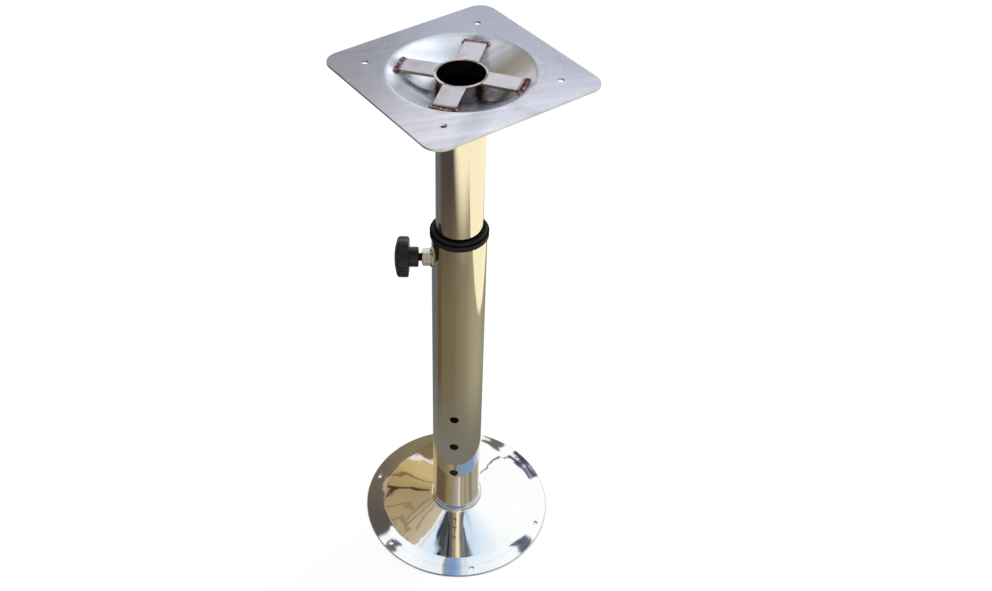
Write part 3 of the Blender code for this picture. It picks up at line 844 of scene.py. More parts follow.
@dataclass(frozen=True)
class BrushedPlate:
    """Satin stainless sheet: brushed flat, smoother pressed dish, wiping marks, tint beside welds, painted
    shade and reflection.
    """

    name: str
    welds: tuple[tuple[float, float, float], ...]
    dish_radius: float
    tube_radius: float
    # The gussets whose lee gets painted shadow in the dish, each with the side that it falls on
    shadowed_gusset_sides: tuple[tuple[float, float], ...]
    colour: Colour = linear(222, 224, 236)
    # The next two colours are painted shade on the flat: darker towards the back, and darker again towards
    # the side that the wall shades
    back_shade_colour: Colour = linear(157, 162, 178)
    side_colour: Colour = linear(120, 124, 136)
    dish_colour: Colour = linear(178, 181, 190)
    # Painted reflection: the dish's far wall is painted pale blue-white, as the sky that it mirrors
    far_wall_reflection_colour: Colour = linear(240, 245, 254)
    # The dark colour of the painted shadow in the dish
    painted_shadow_colour: Colour = linear(44, 42, 54)
    roughness: float = 0.27
    dish_roughness: float = 0.25
    metal: float = 0.70
    # Less metallic on the dish's far wall, so that its painted reflection shows
    far_dish_metal: float = 0.45
    relief: float = 0.000012
    dish_relief: float = 0.000003
    tint_reach: float = 0.019
    tube_tint_reach: float = 0.013
    gusset_half: float = 0.0118
    # Where the painted shadow beside the tube sits
    shadow_patch_place: tuple[float, float, float] = (0.024, -0.032, 0.0)

    def material(self) -> bpy.types.Material:
        """Build the material.

        Returns:
            The new material.
        """
        material, wiring, shader = new_material(self.name)
        place = wiring.place()
        x, y, _ = wiring.split(place)
        radius, _ = wiring.radius_height(place)
        pressed = wiring.remap(radius, self.dish_radius - 0.006, self.dish_radius + 0.001, 1.0, 0.0)
        # The dish's far wall, which gets a painted reflection of the sky
        far_wall = wiring.remap(wiring.math("ADD", y, wiring.product(x, 0.17)), 0.004, 0.034)
        brushed = wiring.group(brushed_grain(), {"Vector": place, "Turn": 0.35, "Fineness": 1500.0})
        marks = wiring.group(smudges(), {"Vector": place, "Scale": 16.0}).outputs["Mask"]
        scratches = wiring.group(hairlines(), {"Vector": place, "Scale": 26.0}).outputs["Mask"]
        hollow = wiring.blend(far_wall, self.dish_colour, self.far_wall_reflection_colour)
        # The flat's colour carries its painted shade
        colour = wiring.blend(pressed, self.flat(wiring, x, y), hollow)
        colour = wiring.layer(colour, linear(166, 167, 182), brushed.outputs["Streaks"], 0.3)
        colour = wiring.layer(colour, linear(150, 154, 172), marks, 0.4)
        colour = wiring.layer(colour, linear(128, 122, 122), self.arcs(wiring, place, radius), 0.28)
        colour = wiring.layer(colour, linear(228, 230, 240), scratches, 0.4)
        colour = self.tinted(wiring, place, radius, colour)
        # Painted shadow in the dish, beside the tube and in the lee of gussets
        colour = wiring.layer(colour, self.painted_shadow_colour, self.painted_shadows(wiring, place), 0.92)
        wiring.feed(shader.inputs["Base Color"], colour)
        rough = wiring.remap(pressed, 0.0, 1.0, self.roughness, self.dish_roughness)
        uneven = wiring.math("ADD", rough, wiring.product(marks, 0.08))
        streaky = wiring.math("ADD", uneven, wiring.product(brushed.outputs["Streaks"], 0.06))
        shine = wiring.product(scratches, 0.08)
        wiring.feed(shader.inputs["Roughness"], wiring.math("SUBTRACT", streaky, shine))
        # The far wall is less metallic, so that its painted reflection shows
        softer = wiring.product(pressed, far_wall, self.metal - self.far_dish_metal)
        wiring.feed(shader.inputs["Metallic"], wiring.math("SUBTRACT", self.metal, softer))
        ringed = wiring.noise(wiring.turned(place, 1500.0, 6.0), 1.0, 3.0)
        lines = {0: pressed, 2: brushed.outputs["Height"], 3: ringed}
        grain = wiring.add("Mix", lines, data_type="FLOAT").outputs[0]
        fine = wiring.bump(grain, wiring.remap(pressed, 0.0, 1.0, self.relief, self.dish_relief))
        wiring.feed(shader.inputs["Normal"], wiring.bump(wiring.noise(place, 24.0, 2.0), 0.0005, fine))
        return material

    def flat(self, wiring: Wiring, x: object, y: object) -> bpy.types.NodeSocket:
        """Painted shade on the flat: darker towards the back, and darker again towards the side that the wall
        shades.

        Args:
            wiring: The material's wiring.
            x: The point's place across the plate.
            y: The point's place along the plate.

        Returns:
            The colour.
        """
        back = wiring.remap(wiring.math("ADD", y, wiring.product(x, 0.7)), -0.165, 0.08)
        side = wiring.remap(wiring.math("SUBTRACT", y, x), 0.05, 0.13)
        return wiring.layer(wiring.blend(back, self.colour, self.back_shade_colour), self.side_colour, side, 0.4)

    def arcs(self, wiring: Wiring, place: object, radius: object) -> bpy.types.NodeSocket:
        """The broken arcs that the press has left on the flat, close round the dish.

        Args:
            wiring: The material's wiring.
            place: The point.
            radius: Its distance from the axis.

        Returns:
            The mask.
        """
        broken = wiring.remap(wiring.noise(wiring.turned(place, 700.0, 1.2), 1.0, 2.0), 0.56, 0.66)
        near = wiring.remap(radius, self.dish_radius + 0.016, self.dish_radius + 0.008)
        outside = wiring.remap(radius, self.dish_radius + 0.001, self.dish_radius + 0.003)
        return wiring.product(broken, near, outside)

    def tinted(self, wiring: Wiring, place: object, radius: object, colour: object) -> bpy.types.NodeSocket:
        """Lay heat tint over a colour, beside the gussets' welds and round the tube.

        Args:
            wiring: The material's wiring.
            place: The point.
            radius: Its distance from the axis.
            colour: The colour underneath.

        Returns:
            The colour with its tint.
        """
        gaps = [wiring.vector_math("DISTANCE", place, weld).outputs["Value"] for weld in self.welds]
        nearest = reduce(lambda least, gap: wiring.math("MINIMUM", least, gap), gaps)
        from_tube = wiring.math("SUBTRACT", radius, self.tube_radius)
        tints = ((nearest, self.tint_reach, 0.7), (from_tube, self.tube_tint_reach, 0.75))
        for distance, reach, share in tints:
            tint = wiring.group(heat_tint(), {"Distance": distance, "Reach": reach, "Vector": place})
            colour = wiring.layer(colour, tint.outputs["Colour"], tint.outputs["Mask"], share)
        return colour

    def painted_shadows(self, wiring: Wiring, place: object) -> bpy.types.NodeSocket:
        """Painted shadow in the dish, beside the tube and in the lee of gussets.

        Args:
            wiring: The material's wiring.
            place: The point.

        Returns:
            The mask.
        """
        level = wiring.vector_math("MULTIPLY", place, (1.0, 1.0, 0.0)).outputs[0]
        apart = wiring.vector_math("DISTANCE", level, self.shadow_patch_place).outputs["Value"]
        # The painted shadow beside the tube, then one in the lee of each listed gusset
        total = wiring.product(wiring.remap(apart, 0.019, 0.007), 0.8)
        for azimuth, side in self.shadowed_gusset_sides:
            turned = wiring.add("VectorRotate", {"Vector": place, "Angle": -azimuth}, rotation_type="Z_AXIS")
            along, across, _ = wiring.split(turned.outputs[0])
            aside = wiring.math("SUBTRACT", wiring.product(across, side), self.gusset_half)
            part = wiring.product(
                wiring.remap(aside, -0.003, 0.0),
                wiring.remap(aside, 0.014, 0.003),
                wiring.remap(along, 0.020, 0.030),
                wiring.remap(along, 0.060, 0.046),
            )
            total = wiring.math("MAXIMUM", total, part)
        return total


@dataclass(frozen=True)
class BarSteel:
    """Ground flat bar: pale flats, straw-coloured sides, a painted dark reflection along its edges, and dark
    at its welds.
    """

    name: str
    weld_radius: float
    colour: Colour = linear(192, 190, 199)
    side_colour: Colour = linear(168, 158, 108)
    # Painted dark reflection along the bar's rounded edges
    painted_edge_dark: Colour = linear(70, 64, 60)
    roughness: float = 0.32

    def material(self) -> bpy.types.Material:
        """Build the material.

        Returns:
            The new material.
        """
        material, wiring, shader = new_material(self.name)
        place = wiring.place()
        radius, _ = wiring.radius_height(place)
        distance = wiring.math("ABSOLUTE", wiring.math("SUBTRACT", self.weld_radius, radius))
        tint = wiring.group(heat_tint(), {"Distance": distance, "Reach": 0.0055, "Vector": place})
        grain = wiring.group(brushed_grain(), {"Vector": place, "Turn": 1.1, "Fineness": 1900.0})
        marks = wiring.group(smudges(), {"Vector": place, "Scale": 60.0}).outputs["Mask"]
        colour = wiring.layer(self.colour, linear(160, 154, 160), marks, 0.35)
        colour = wiring.layer(colour, linear(208, 206, 218), grain.outputs["Streaks"], 0.3)
        # The bevels lean between flat and side, so how far a face looks up tells which it is
        facing = wiring.math("ABSOLUTE", wiring.split(wiring.add("TexCoord").outputs["Normal"])[2])
        # Painted dark reflection on the bevels, where a face looks only partly up
        colour = wiring.blend(wiring.remap(facing, 0.80, 0.98, 0.7, 0.0), colour, self.painted_edge_dark)
        colour = wiring.blend(wiring.remap(facing, 0.30, 0.60, 1.0, 0.0), colour, self.side_colour)
        colour = wiring.layer(colour, tint.outputs["Colour"], tint.outputs["Mask"], 0.8)
        wiring.feed(shader.inputs["Base Color"], colour)
        rough = wiring.math("ADD", wiring.product(marks, 0.12), self.roughness)
        wiring.feed(shader.inputs["Roughness"], rough)
        shader.inputs["Metallic"].default_value = 1.0
        wiring.feed(shader.inputs["Normal"], wiring.bump(grain.outputs["Height"], 0.00002))
        return material


@dataclass(frozen=True)
class WeldMetal:
    """A weld bead as it cooled: bright ripples, patches of red and violet tint, brown scale."""

    name: str
    scale_colour: Colour = linear(84, 48, 40)
    bright_colour: Colour = linear(176, 160, 150)
    tint_colour: Colour = linear(150, 84, 84)
    cool_colour: Colour = linear(92, 84, 120)
    straw_colour: Colour = linear(196, 186, 160)
    scaled: float = 0.5

    def material(self) -> bpy.types.Material:
        """Build the material.

        Returns:
            The new material.
        """
        material, wiring, shader = new_material(self.name)
        place = wiring.place()
        cloud = wiring.noise(place, 420.0, 4.0, 0.5)
        patches = wiring.remap(cloud, 0.65 - self.scaled / 2, 0.90 - self.scaled / 2)
        stops = [
            (0.36, self.cool_colour),
            (0.46, self.tint_colour),
            (0.56, self.bright_colour),
            (0.66, self.straw_colour),
        ]
        hues = wiring.ramp(wiring.noise(place, 190.0, 3.0), stops)
        wiring.feed(shader.inputs["Base Color"], wiring.blend(patches, hues, self.scale_colour))
        wiring.feed(shader.inputs["Metallic"], wiring.remap(patches, 0.0, 1.0, 1.0, 0.6))
        wiring.feed(shader.inputs["Roughness"], wiring.remap(patches, 0.0, 1.0, 0.26, 0.58))
        wiring.feed(shader.inputs["Normal"], wiring.bump(wiring.noise(place, 1400.0, 4.0), 0.00012))
        return material


@dataclass(frozen=True)
class MouldedPlastic:
    """Moulded plastic with a fine spark-eroded grain and light handling marks."""

    name: str
    colour: Colour
    worn: Colour
    roughness: float = 0.34
    gloss: float = 0.5
    grain: float = 0.00002

    def material(self) -> bpy.types.Material:
        """Build the material.

        Returns:
            The new material.
        """
        material, wiring, shader = new_material(self.name)
        place = wiring.place()
        marks = wiring.group(smudges(), {"Vector": place, "Scale": 90.0}).outputs["Mask"]
        scratches = wiring.group(hairlines(), {"Vector": place, "Scale": 120.0}).outputs["Mask"]
        shader.inputs["Specular IOR Level"].default_value = self.gloss
        wear = wiring.math("MAXIMUM", wiring.product(marks, 0.4), scratches)
        wiring.feed(shader.inputs["Base Color"], wiring.blend(wear, self.colour, self.worn))
        rough = wiring.math("ADD", wiring.product(wear, 0.14), self.roughness)
        wiring.feed(shader.inputs["Roughness"], rough)
        wiring.feed(shader.inputs["Normal"], wiring.bump(wiring.noise(place, 2600.0, 3.0), self.grain))
        return material


@dataclass(frozen=True)
class BrightSteel:
    """Bright machined steel, darkened in patches by oil."""

    name: str
    colour: Colour = (0.78, 0.77, 0.74)
    oily: Colour = linear(120, 98, 70)
    oil: float = 0.3
    roughness: float = 0.16

    def material(self) -> bpy.types.Material:
        """Build the material.

        Returns:
            The new material.
        """
        material, wiring, shader = new_material(self.name)
        place = wiring.place()
        marks = wiring.group(smudges(), {"Vector": place, "Scale": 160.0}).outputs["Mask"]
        share = wiring.math("ADD", wiring.math("MULTIPLY", marks, 0.4), self.oil, clamp=True)
        wiring.feed(shader.inputs["Base Color"], wiring.blend(share, self.colour, self.oily))
        rough = wiring.math("ADD", wiring.product(marks, 0.12), self.roughness)
        wiring.feed(shader.inputs["Roughness"], rough)
        shader.inputs["Metallic"].default_value = 1.0
        wiring.feed(shader.inputs["Normal"], wiring.bump(wiring.noise(place, 1800.0, 2.0), 0.00001))
        return material


@dataclass(frozen=True)
class Tube:
    """A polished tube's own sizes."""

    bore: float
    radius: float
    foot: float
    top: float

    def skin(self, name: str, facets: int = 192, edge: float = 0.0004) -> bpy.types.Object:
        """Turn the tube with softened ends.

        Args:
            name: The new object's name.
            facets: How many facets the full turn has.
            edge: The rounding of its ends.

        Returns:
            The tube.
        """
        corners = [
            (self.bore, self.foot, edge),
            (self.radius, self.foot, edge),
            (self.radius, self.top, edge),
            (self.bore, self.top, edge),
        ]
        return spun(name, filleted(corners, 3, edge), facets)


@dataclass
class Base:
    """The spun base on the floor, with its ribs."""

    finish: PolishedStainless
    rib_finish: BarSteel
    weld_finish: WeldMetal
    sheet: float = 0.0025
    foot_land: float = 0.005
    rim_band: float = 0.021
    rim_rise: float = 0.0025
    cone_rise: float = 0.0140
    cone_sag: float = 0.0006
    neck_wall: float = 0.0027
    neck_bore: float = 0.0303
    edge_round: float = 0.0008
    hole_radius: float = 0.0028
    hole_flare: float = 0.0007
    hole_inset: float = 0.009
    hole_count: int = 6
    hole_clocking: float = math.radians(5.2)
    ribs: int = 4

    def outline(self) -> Outline:
        """The sheet's closed outline, with every bend rounded.

        Returns:
            The outline's points.
        """
        reach, foot, top = node_span("base_flange")
        crease = reach - self.rim_band
        crease_top = self.sheet + self.rim_rise
        neck = self.neck_bore + self.neck_wall
        neck_foot = crease_top + self.cone_rise
        slope = (self.cone_rise + 4 * self.cone_sag) / (crease - neck)
        under_neck = neck_foot + (neck - self.neck_bore) * slope - self.sheet
        steps = 14
        cone = []
        for step in range(1, steps):
            share = step / steps
            dip = 4 * self.cone_sag * share * (1.0 - share)
            cone.append((crease + (neck - crease) * share, crease_top + self.cone_rise * share - dip))
        corners = [
            (reach - self.foot_land, foot, 0.004),
            (reach, foot, 0.0003),
            (reach, self.sheet, self.edge_round),
            (crease, crease_top, 0.090),
            *((radius, height, 0.0) for radius, height in cone),
            (neck, neck_foot, 0.0006),
            (neck, top, 0.0013),
            (self.neck_bore, top, 0.0003),
            (self.neck_bore, under_neck, 0.0),
            *((radius, height - self.sheet, 0.0) for radius, height in reversed(cone)),
            (crease, crease_top - self.sheet, 0.090),
        ]
        return filleted(corners, 5, 0.0002)

    def hole_cutter(self) -> bpy.types.Object:
        """Model one flared screw hole's cutter and copy it round the rim.

        Returns:
            All cutters in one object.
        """
        reach, _, _ = node_span("base_flange")
        place = reach - self.hole_inset
        share = (self.hole_inset - self.edge_round) / (self.rim_band - self.edge_round)
        mouth = self.sheet + self.rim_rise * share
        flare = self.hole_flare
        outline = [
            (0.0, -self.sheet),
            (self.hole_radius, -self.sheet),
            (self.hole_radius, mouth - flare),
            (self.hole_radius + 0.3 * flare, mouth - 0.4 * flare),
            (self.hole_radius + flare, mouth),
            (self.hole_radius + 2.0 * flare, mouth + 0.5 * flare),
            (0.0, mouth + 0.5 * flare),
        ]
        first = spun("base_hole_cutter", outline, 40, closed=False)
        place_mesh(first, Matrix.Translation((place, 0.0, 0.0)))
        cutters = [first]
        for index in range(1, self.hole_count):
            copy = first.copy()
            copy.data = first.data.copy()
            bpy.context.scene.collection.objects.link(copy)
            place_mesh(copy, Matrix.Rotation(math.tau * index / self.hole_count, 4, "Z"))
            cutters.append(copy)
        cutter = joined("base_hole_cutters", cutters)
        place_mesh(cutter, Matrix.Rotation(self.hole_clocking, 4, "Z"))
        return cutter

    def welds(self) -> bpy.types.Object:
        """Lay the bead round the column's foot and stitches along the ribs, all under the sheet.

        Returns:
            All beads in one object.
        """
        inset, beside, step = 0.0012, 0.0019, 0.0004
        reach, _, _ = node_span("base_flange")
        tube_radius, _, _ = node_span("outer_tube")
        rib_end, _, rib_top = node_span("base_rib_1")
        circle = arc((0.0, 0.0), tube_radius + inset, 0.0, math.tau, 480)[1:]
        ring = [Vector((x, y, rib_top - inset)) for x, y in circle]
        beads = [bead("base_welds", ring, 0.0015, 11, closed=True)]
        slope = self.cone_rise / (reach - self.rim_band - self.neck_bore - self.neck_wall)
        for index in range(self.ribs):
            turn = Matrix.Rotation(math.tau * index / self.ribs, 4, "Z")
            for side in (-beside, beside):
                for start in (0.10, 0.62):
                    first = tube_radius + (rib_end - tube_radius) * start
                    path = []
                    for x in (first + step * point for point in range(30)):
                        height = rib_top - 0.0006 - slope * (x - tube_radius)
                        path.append(turn @ Vector((x, side, height)))
                    beads.append(bead("stitch", path, 0.0011, 20 + len(beads)))
        return joined("base_welds", beads)

    def build(self) -> None:
        """Model and dress the base, its ribs and their welds."""
        skin = spun("base_skin", self.outline(), 192)
        combine(skin, self.hole_cutter())
        smooth(skin, 35.0)
        # The sagged cone keeps its own smooth normals, and only the flat rim gets exact ones
        reach, _, _ = node_span("base_flange")
        lathe_normals(skin, 0.004, reach - self.rim_band)
        settle(skin, Body.COLUMN, self.finish.material(), ["base_flange"])
        steel = self.rib_finish.material()
        for index in range(1, self.ribs + 1):
            node = f"base_rib_{index}"
            settle(refined(node, 0.0004), Body.COLUMN, steel, [node])
        settle(self.welds(), Body.COLUMN, self.weld_finish.material())


def clamp_axis(azimuth: float, height: float) -> Matrix:
    """The clamp screw's own frame: Z outwards along an azimuth, Y up, on the column's axis at a height."""
    turn = Matrix.Rotation(azimuth + math.pi / 2, 4, "Z") @ Matrix.Rotation(math.pi / 2, 4, "X")
    return Matrix.Translation((0.0, 0.0, height)) @ turn


@dataclass
class Column:
    """The outer tube, its guide collar, and the nut welded to its side."""

    finish: PolishedStainless
    plastic: MouldedPlastic
    nut_finish: BrightSteel
    weld_finish: WeldMetal
    wall: float = 0.0020
    pin_holes: int = 3
    pin_hole_radius: float = 0.0055
    pin_hole_pitch: float = 0.04975
    pin_hole_first: float = 0.095
    pin_hole_azimuth: float = math.radians(-132.0)
    clamp_azimuth: float = math.radians(144.3)
    clamp_height: float = 0.4268
    screw_hole_radius: float = 0.0052
    cut_depth: float = 0.020
    cut_middle: float = 0.029
    deburr: float = 0.0003
    collar_top_round: float = 0.0034
    collar_foot_round: float = 0.0010
    collar_bore: float = 0.0257
    sleeve_radius: float = 0.0277

    def side_cutter(self, radius: float, azimuth: float, height: float) -> bpy.types.Object:
        """Model the cutter of one hole in the tube's side.

        Args:
            radius: The hole's radius.
            azimuth: Which side it is on.
            height: Its height.

        Returns:
            The cutter.
        """
        bpy.ops.object.select_all(action="DESELECT")
        middle = (0.0, 0.0, self.cut_middle)
        bpy.ops.mesh.primitive_cylinder_add(vertices=64, radius=radius, depth=self.cut_depth, location=middle)
        cutter = bpy.context.object
        matrix = cutter.matrix_world.copy()
        cutter.matrix_world = Matrix.Identity(4)
        turn = Matrix.Rotation(azimuth, 4, "Z") @ Matrix.Rotation(math.pi / 2, 4, "Y")
        place_mesh(cutter, Matrix.Translation((0.0, 0.0, height)) @ turn @ matrix)
        return cutter

    def tube(self) -> bpy.types.Object:
        """Turn the outer tube and drill its pin holes and the clamp's hole.

        Returns:
            The tube.
        """
        radius, foot, top = node_span("outer_tube")
        skin = Tube(radius - self.wall, radius, foot, top).skin("outer_tube_skin")
        for index in range(self.pin_holes):
            height = self.pin_hole_first + index * self.pin_hole_pitch
            combine(skin, self.side_cutter(self.pin_hole_radius, self.pin_hole_azimuth, height))
        combine(skin, self.side_cutter(self.screw_hole_radius, self.clamp_azimuth, self.clamp_height))
        sharp = math.radians(50.0)
        apply(skin, "BEVEL", width=self.deburr, segments=2, limit_method="ANGLE", angle_limit=sharp)
        smooth(skin, 35.0)
        lathe_normals(skin, 0.003)
        return skin

    def collar(self) -> bpy.types.Object:
        """Turn the guide collar: a thick round-edged flange over a thin sleeve.

        Returns:
            The collar.
        """
        rim, foot, top = node_span("guide_collar")
        _, _, tube_top = node_span("outer_tube")
        seat = tube_top + 0.00003
        corners = [
            (self.collar_bore, foot, 0.0),
            (self.sleeve_radius, foot, 0.0006),
            (self.sleeve_radius, seat, 0.0),
            (rim, seat, self.collar_foot_round),
            (rim, top, self.collar_top_round),
            (self.collar_bore, top - 0.0002, 0.0022),
        ]
        skin = spun("collar_skin", filleted(corners, 6, 0.0002), 128)
        smooth(skin, 35.0)
        return skin

    def nut_weld(self) -> bpy.types.Object:
        """Lay the bead that holds the nut, along the seat where it meets the tube.

        Returns:
            The bead.
        """
        points = 150
        lift = 0.0004
        axis = clamp_axis(self.clamp_azimuth, self.clamp_height)
        tube_radius, _, _ = node_span("outer_tube")
        nut_radius, _, _ = node_span("weld_nut", axis)
        path = []
        for step in range(points):
            turn = math.tau * step / points
            # Six corners, as the nut has
            reach = nut_radius * (0.955 + 0.03 * math.cos(6 * turn + 0.3))
            across = reach * math.cos(turn)
            seat = math.sqrt(tube_radius**2 - across**2) + lift
            path.append(axis @ Vector((across, reach * math.sin(turn), seat)))
        return bead("nut_weld", path, 0.0013, 5, closed=True)

    def build(self) -> None:
        """Model and dress the column's pieces."""
        settle(self.tube(), Body.COLUMN, self.finish.material(), ["outer_tube"])
        settle(self.collar(), Body.COLUMN, self.plastic.material(), ["guide_collar"])
        nut = refined("weld_nut", 0.0003)
        settle(nut, Body.COLUMN, self.nut_finish.material(), ["weld_nut"])
        settle(self.nut_weld(), Body.COLUMN, self.weld_finish.material())


@dataclass
class Mast:
    """The inner tube with the seat plate and its gussets."""

    finish: PolishedStainless
    plate_finish: BrushedPlate
    bar_finish: BarSteel
    weld_finish: WeldMetal
    wall: float = 0.0015
    plate_side: float = 0.198
    plate_sheet: float = 0.0025
    plate_corner: float = 0.018
    plate_hole_radius: float = 0.0035
    plate_hole_spacing: float = 0.134
    dish_radius: float = 0.074
    dish_lip: float = 0.002
    dish_shoulder: float = 0.008
    dish_slope: float = math.radians(31.0)
    dish_floor_slope: float = math.radians(5.0)
    dish_floor_width: float = 0.014
    dish_bend: float = 0.020
    gusset_width: float = 0.0235
    gusset_azimuths: tuple[float, ...] = tuple(map(math.radians, (41.0, 128.0, 219.5, 305.0)))

    def dish_outline(self, seat: float) -> Outline:
        """The dish's outline from its rim in to the inner tube's side.

        Args:
            seat: The plate top's height.

        Returns:
            The outline's points, from the rim inwards.
        """
        tube_radius, _, _ = node_span("inner_tube")
        bore = tube_radius + SEAT_GAP
        steps = 8
        rim = self.dish_radius
        points: Outline = [(rim + self.dish_lip, seat)]
        for step in range(steps + 1):
            angle = self.dish_slope * step / steps
            drop = self.dish_shoulder * (1 - math.cos(angle))
            points.append((rim - self.dish_shoulder * math.sin(angle), seat - drop))
        wall_x, wall_z = points[-1]
        corner_x = bore + self.dish_floor_width
        corner_z = wall_z - math.tan(self.dish_slope) * (wall_x - corner_x)
        back_off = self.dish_bend * math.tan((self.dish_slope - self.dish_floor_slope) / 2)
        start_x = corner_x + back_off * math.cos(self.dish_slope)
        start_z = corner_z + back_off * math.sin(self.dish_slope)
        centre_x = start_x - self.dish_bend * math.sin(self.dish_slope)
        centre_z = start_z + self.dish_bend * math.cos(self.dish_slope)
        for step in range(steps + 1):
            angle = self.dish_slope + (self.dish_floor_slope - self.dish_slope) * step / steps
            x = centre_x + self.dish_bend * math.sin(angle)
            points.append((x, centre_z - self.dish_bend * math.cos(angle)))
        points.append((bore, corner_z - math.tan(self.dish_floor_slope) * self.dish_floor_width))
        return points

    def plate(self) -> bpy.types.Object:
        """Model the square sheet with its bolt holes and its pressed dish.

        Returns:
            The plate.
        """
        _, _, seat = node_span("seat_plate")
        skin = spun("plate_skin", self.dish_outline(seat), 144, closed=False)
        reach = self.plate_hole_spacing / 2
        outer = self.dish_radius + self.dish_lip - 1e-5

        def bounds_flat(edge: bmesh.types.BMEdge) -> bool:
            """Whether an edge bounds the flat: it has no face, or it is on the dish's rim."""
            on_rim = edge.is_boundary and min(vertex.co.xy.length for vertex in edge.verts) > outer
            return on_rim or not edge.link_faces

        with editing(skin, Element.EDGE):
            bpy.ops.mesh.select_all(action="DESELECT")
            bpy.ops.mesh.primitive_plane_add(size=self.plate_side, location=(0.0, 0.0, seat))
            bpy.ops.mesh.delete(type="ONLY_FACE")
            corner = self.plate_side / 2 - MERGE
            pick(skin, Element.VERT, lambda v: min(abs(v.co.x), abs(v.co.y)) > corner)
            bpy.ops.mesh.bevel(offset=self.plate_corner, segments=14, affect="VERTICES")
            for x in (-reach, reach):
                for y in (-reach, reach):
                    bpy.ops.mesh.primitive_circle_add(
                        vertices=40, radius=self.plate_hole_radius, location=(x, y, seat)
                    )
            pick(skin, Element.EDGE, bounds_flat)
            bpy.ops.mesh.fill(use_beauty=True)
            bpy.ops.mesh.select_all(action="SELECT")
            bpy.ops.mesh.normals_make_consistent(inside=False)
        if sum(face.normal.z * face.area for face in skin.data.polygons) < 0.0:
            skin.data.flip_normals()
        apply(skin, "SOLIDIFY", thickness=self.plate_sheet, offset=-1.0, use_even_offset=True)
        apply(
            skin,
            "BEVEL",
            width=0.0003,
            segments=2,
            limit_method="ANGLE",
            angle_limit=math.radians(60.0),
            use_clamp_overlap=True,
        )
        smooth(skin, 35.0)
        apply(skin, "WEIGHTED_NORMAL", keep_sharp=True)
        return skin

    def gusset_weld(self, azimuth: float, seed: int) -> bpy.types.Object:
        """Lay the bead across a gusset's outer end and round its corners, down in the dish.

        Args:
            azimuth: The gusset's direction.
            seed: Sets the bead's unevenness.

        Returns:
            The bead.
        """
        node = f"plate_gusset_{self.gusset_azimuths.index(azimuth) + 1}"
        corner_radius, _, top = node_span(node)
        half = self.gusset_width / 2
        end = math.sqrt(corner_radius**2 - half**2)
        wrap, crown, outset, drop = 0.0026, 0.0006, 0.0016, 0.0019
        steps = 64
        length = half + wrap
        path = []
        for step in range(steps + 1):
            along = -length + 2 * length * step / steps
            past = max(0.0, abs(along) - half)
            bulge = crown * (1.0 - min(1.0, abs(along) / half) ** 2)
            x = end + outset + bulge - 1.1 * past
            y = math.copysign(min(abs(along), half + 0.0007), along)
            path.append(Vector((x, y, top - drop - bulge - 0.5 * past)))
        strand = bead("gusset_weld", path, 0.0021, seed)
        place_mesh(strand, Matrix.Rotation(azimuth, 4, "Z"))
        return strand

    def rim_pad(self, azimuth: float) -> bpy.types.Object:
        """Turn the ground-flush weld that carries a gusset's flat over the tube's mouth.

        Args:
            azimuth: The gusset's direction.

        Returns:
            The pad.
        """
        tube_radius, _, tube_top = node_span("inner_tube")
        half = math.asin(self.gusset_width / 2 / tube_radius) - 0.02
        inner, outer = tube_radius - self.wall + 0.00005, tube_radius + 0.0013
        corners = [
            (inner, tube_top - 0.0006, 0.0),
            (outer, tube_top - 0.0006, 0.0),
            (outer, tube_top + 0.00008, 0.00005),
            (inner, tube_top + 0.00015, 0.0001),
        ]
        pad = spun("rim_pad", filleted(corners, 2), 24, turn=2 * half)
        smooth(pad, 35.0)
        place_mesh(pad, Matrix.Rotation(azimuth - half, 4, "Z"))
        return pad

    def build(self) -> None:
        """Model and dress the mast's pieces."""
        radius, foot, top = node_span("inner_tube")
        tube = Tube(radius - self.wall, radius, foot, top).skin("inner_tube_skin")
        smooth(tube, 35.0)
        lathe_normals(tube, 0.003)
        settle(tube, Body.MAST, self.finish.material(), ["inner_tube"])
        settle(self.plate(), Body.MAST, self.plate_finish.material(), ["seat_plate"])
        steel = self.bar_finish.material()
        for index in range(1, len(self.gusset_azimuths) + 1):
            node = f"plate_gusset_{index}"
            settle(refined(node, 0.0002), Body.MAST, steel, [node])
        pads = joined("rim_pads", [self.rim_pad(azimuth) for azimuth in self.gusset_azimuths])
        settle(pads, Body.MAST, steel)
        seeds = (31, 38, 45, 52)
        beads = [self.gusset_weld(azimuth, seed) for azimuth, seed in zip(self.gusset_azimuths, seeds)]
        _, _, seat = node_span("seat_plate")
        floor_radius, floor_height = self.dish_outline(seat)[-1]
        ring = arc((0.0, 0.0), floor_radius + 0.0018, 0.0, math.tau, 400)[1:]
        under = [Vector((x, y, floor_height - self.plate_sheet - 0.0004)) for x, y in ring]
        beads.append(bead("under_dish_weld", under, 0.0017, 61, closed=True))
        settle(joined("mast_welds", beads), Body.MAST, self.weld_finish.material())


@dataclass
class Glide:
    """The plastic ring round the inner tube's foot."""

    plastic: MouldedPlastic

    def build(self) -> None:
        """Dress the lower glide."""
        skin = refined("lower_glide", 0.0002)
        settle(skin, Body.GLIDE, self.plastic.material(), ["lower_glide"])


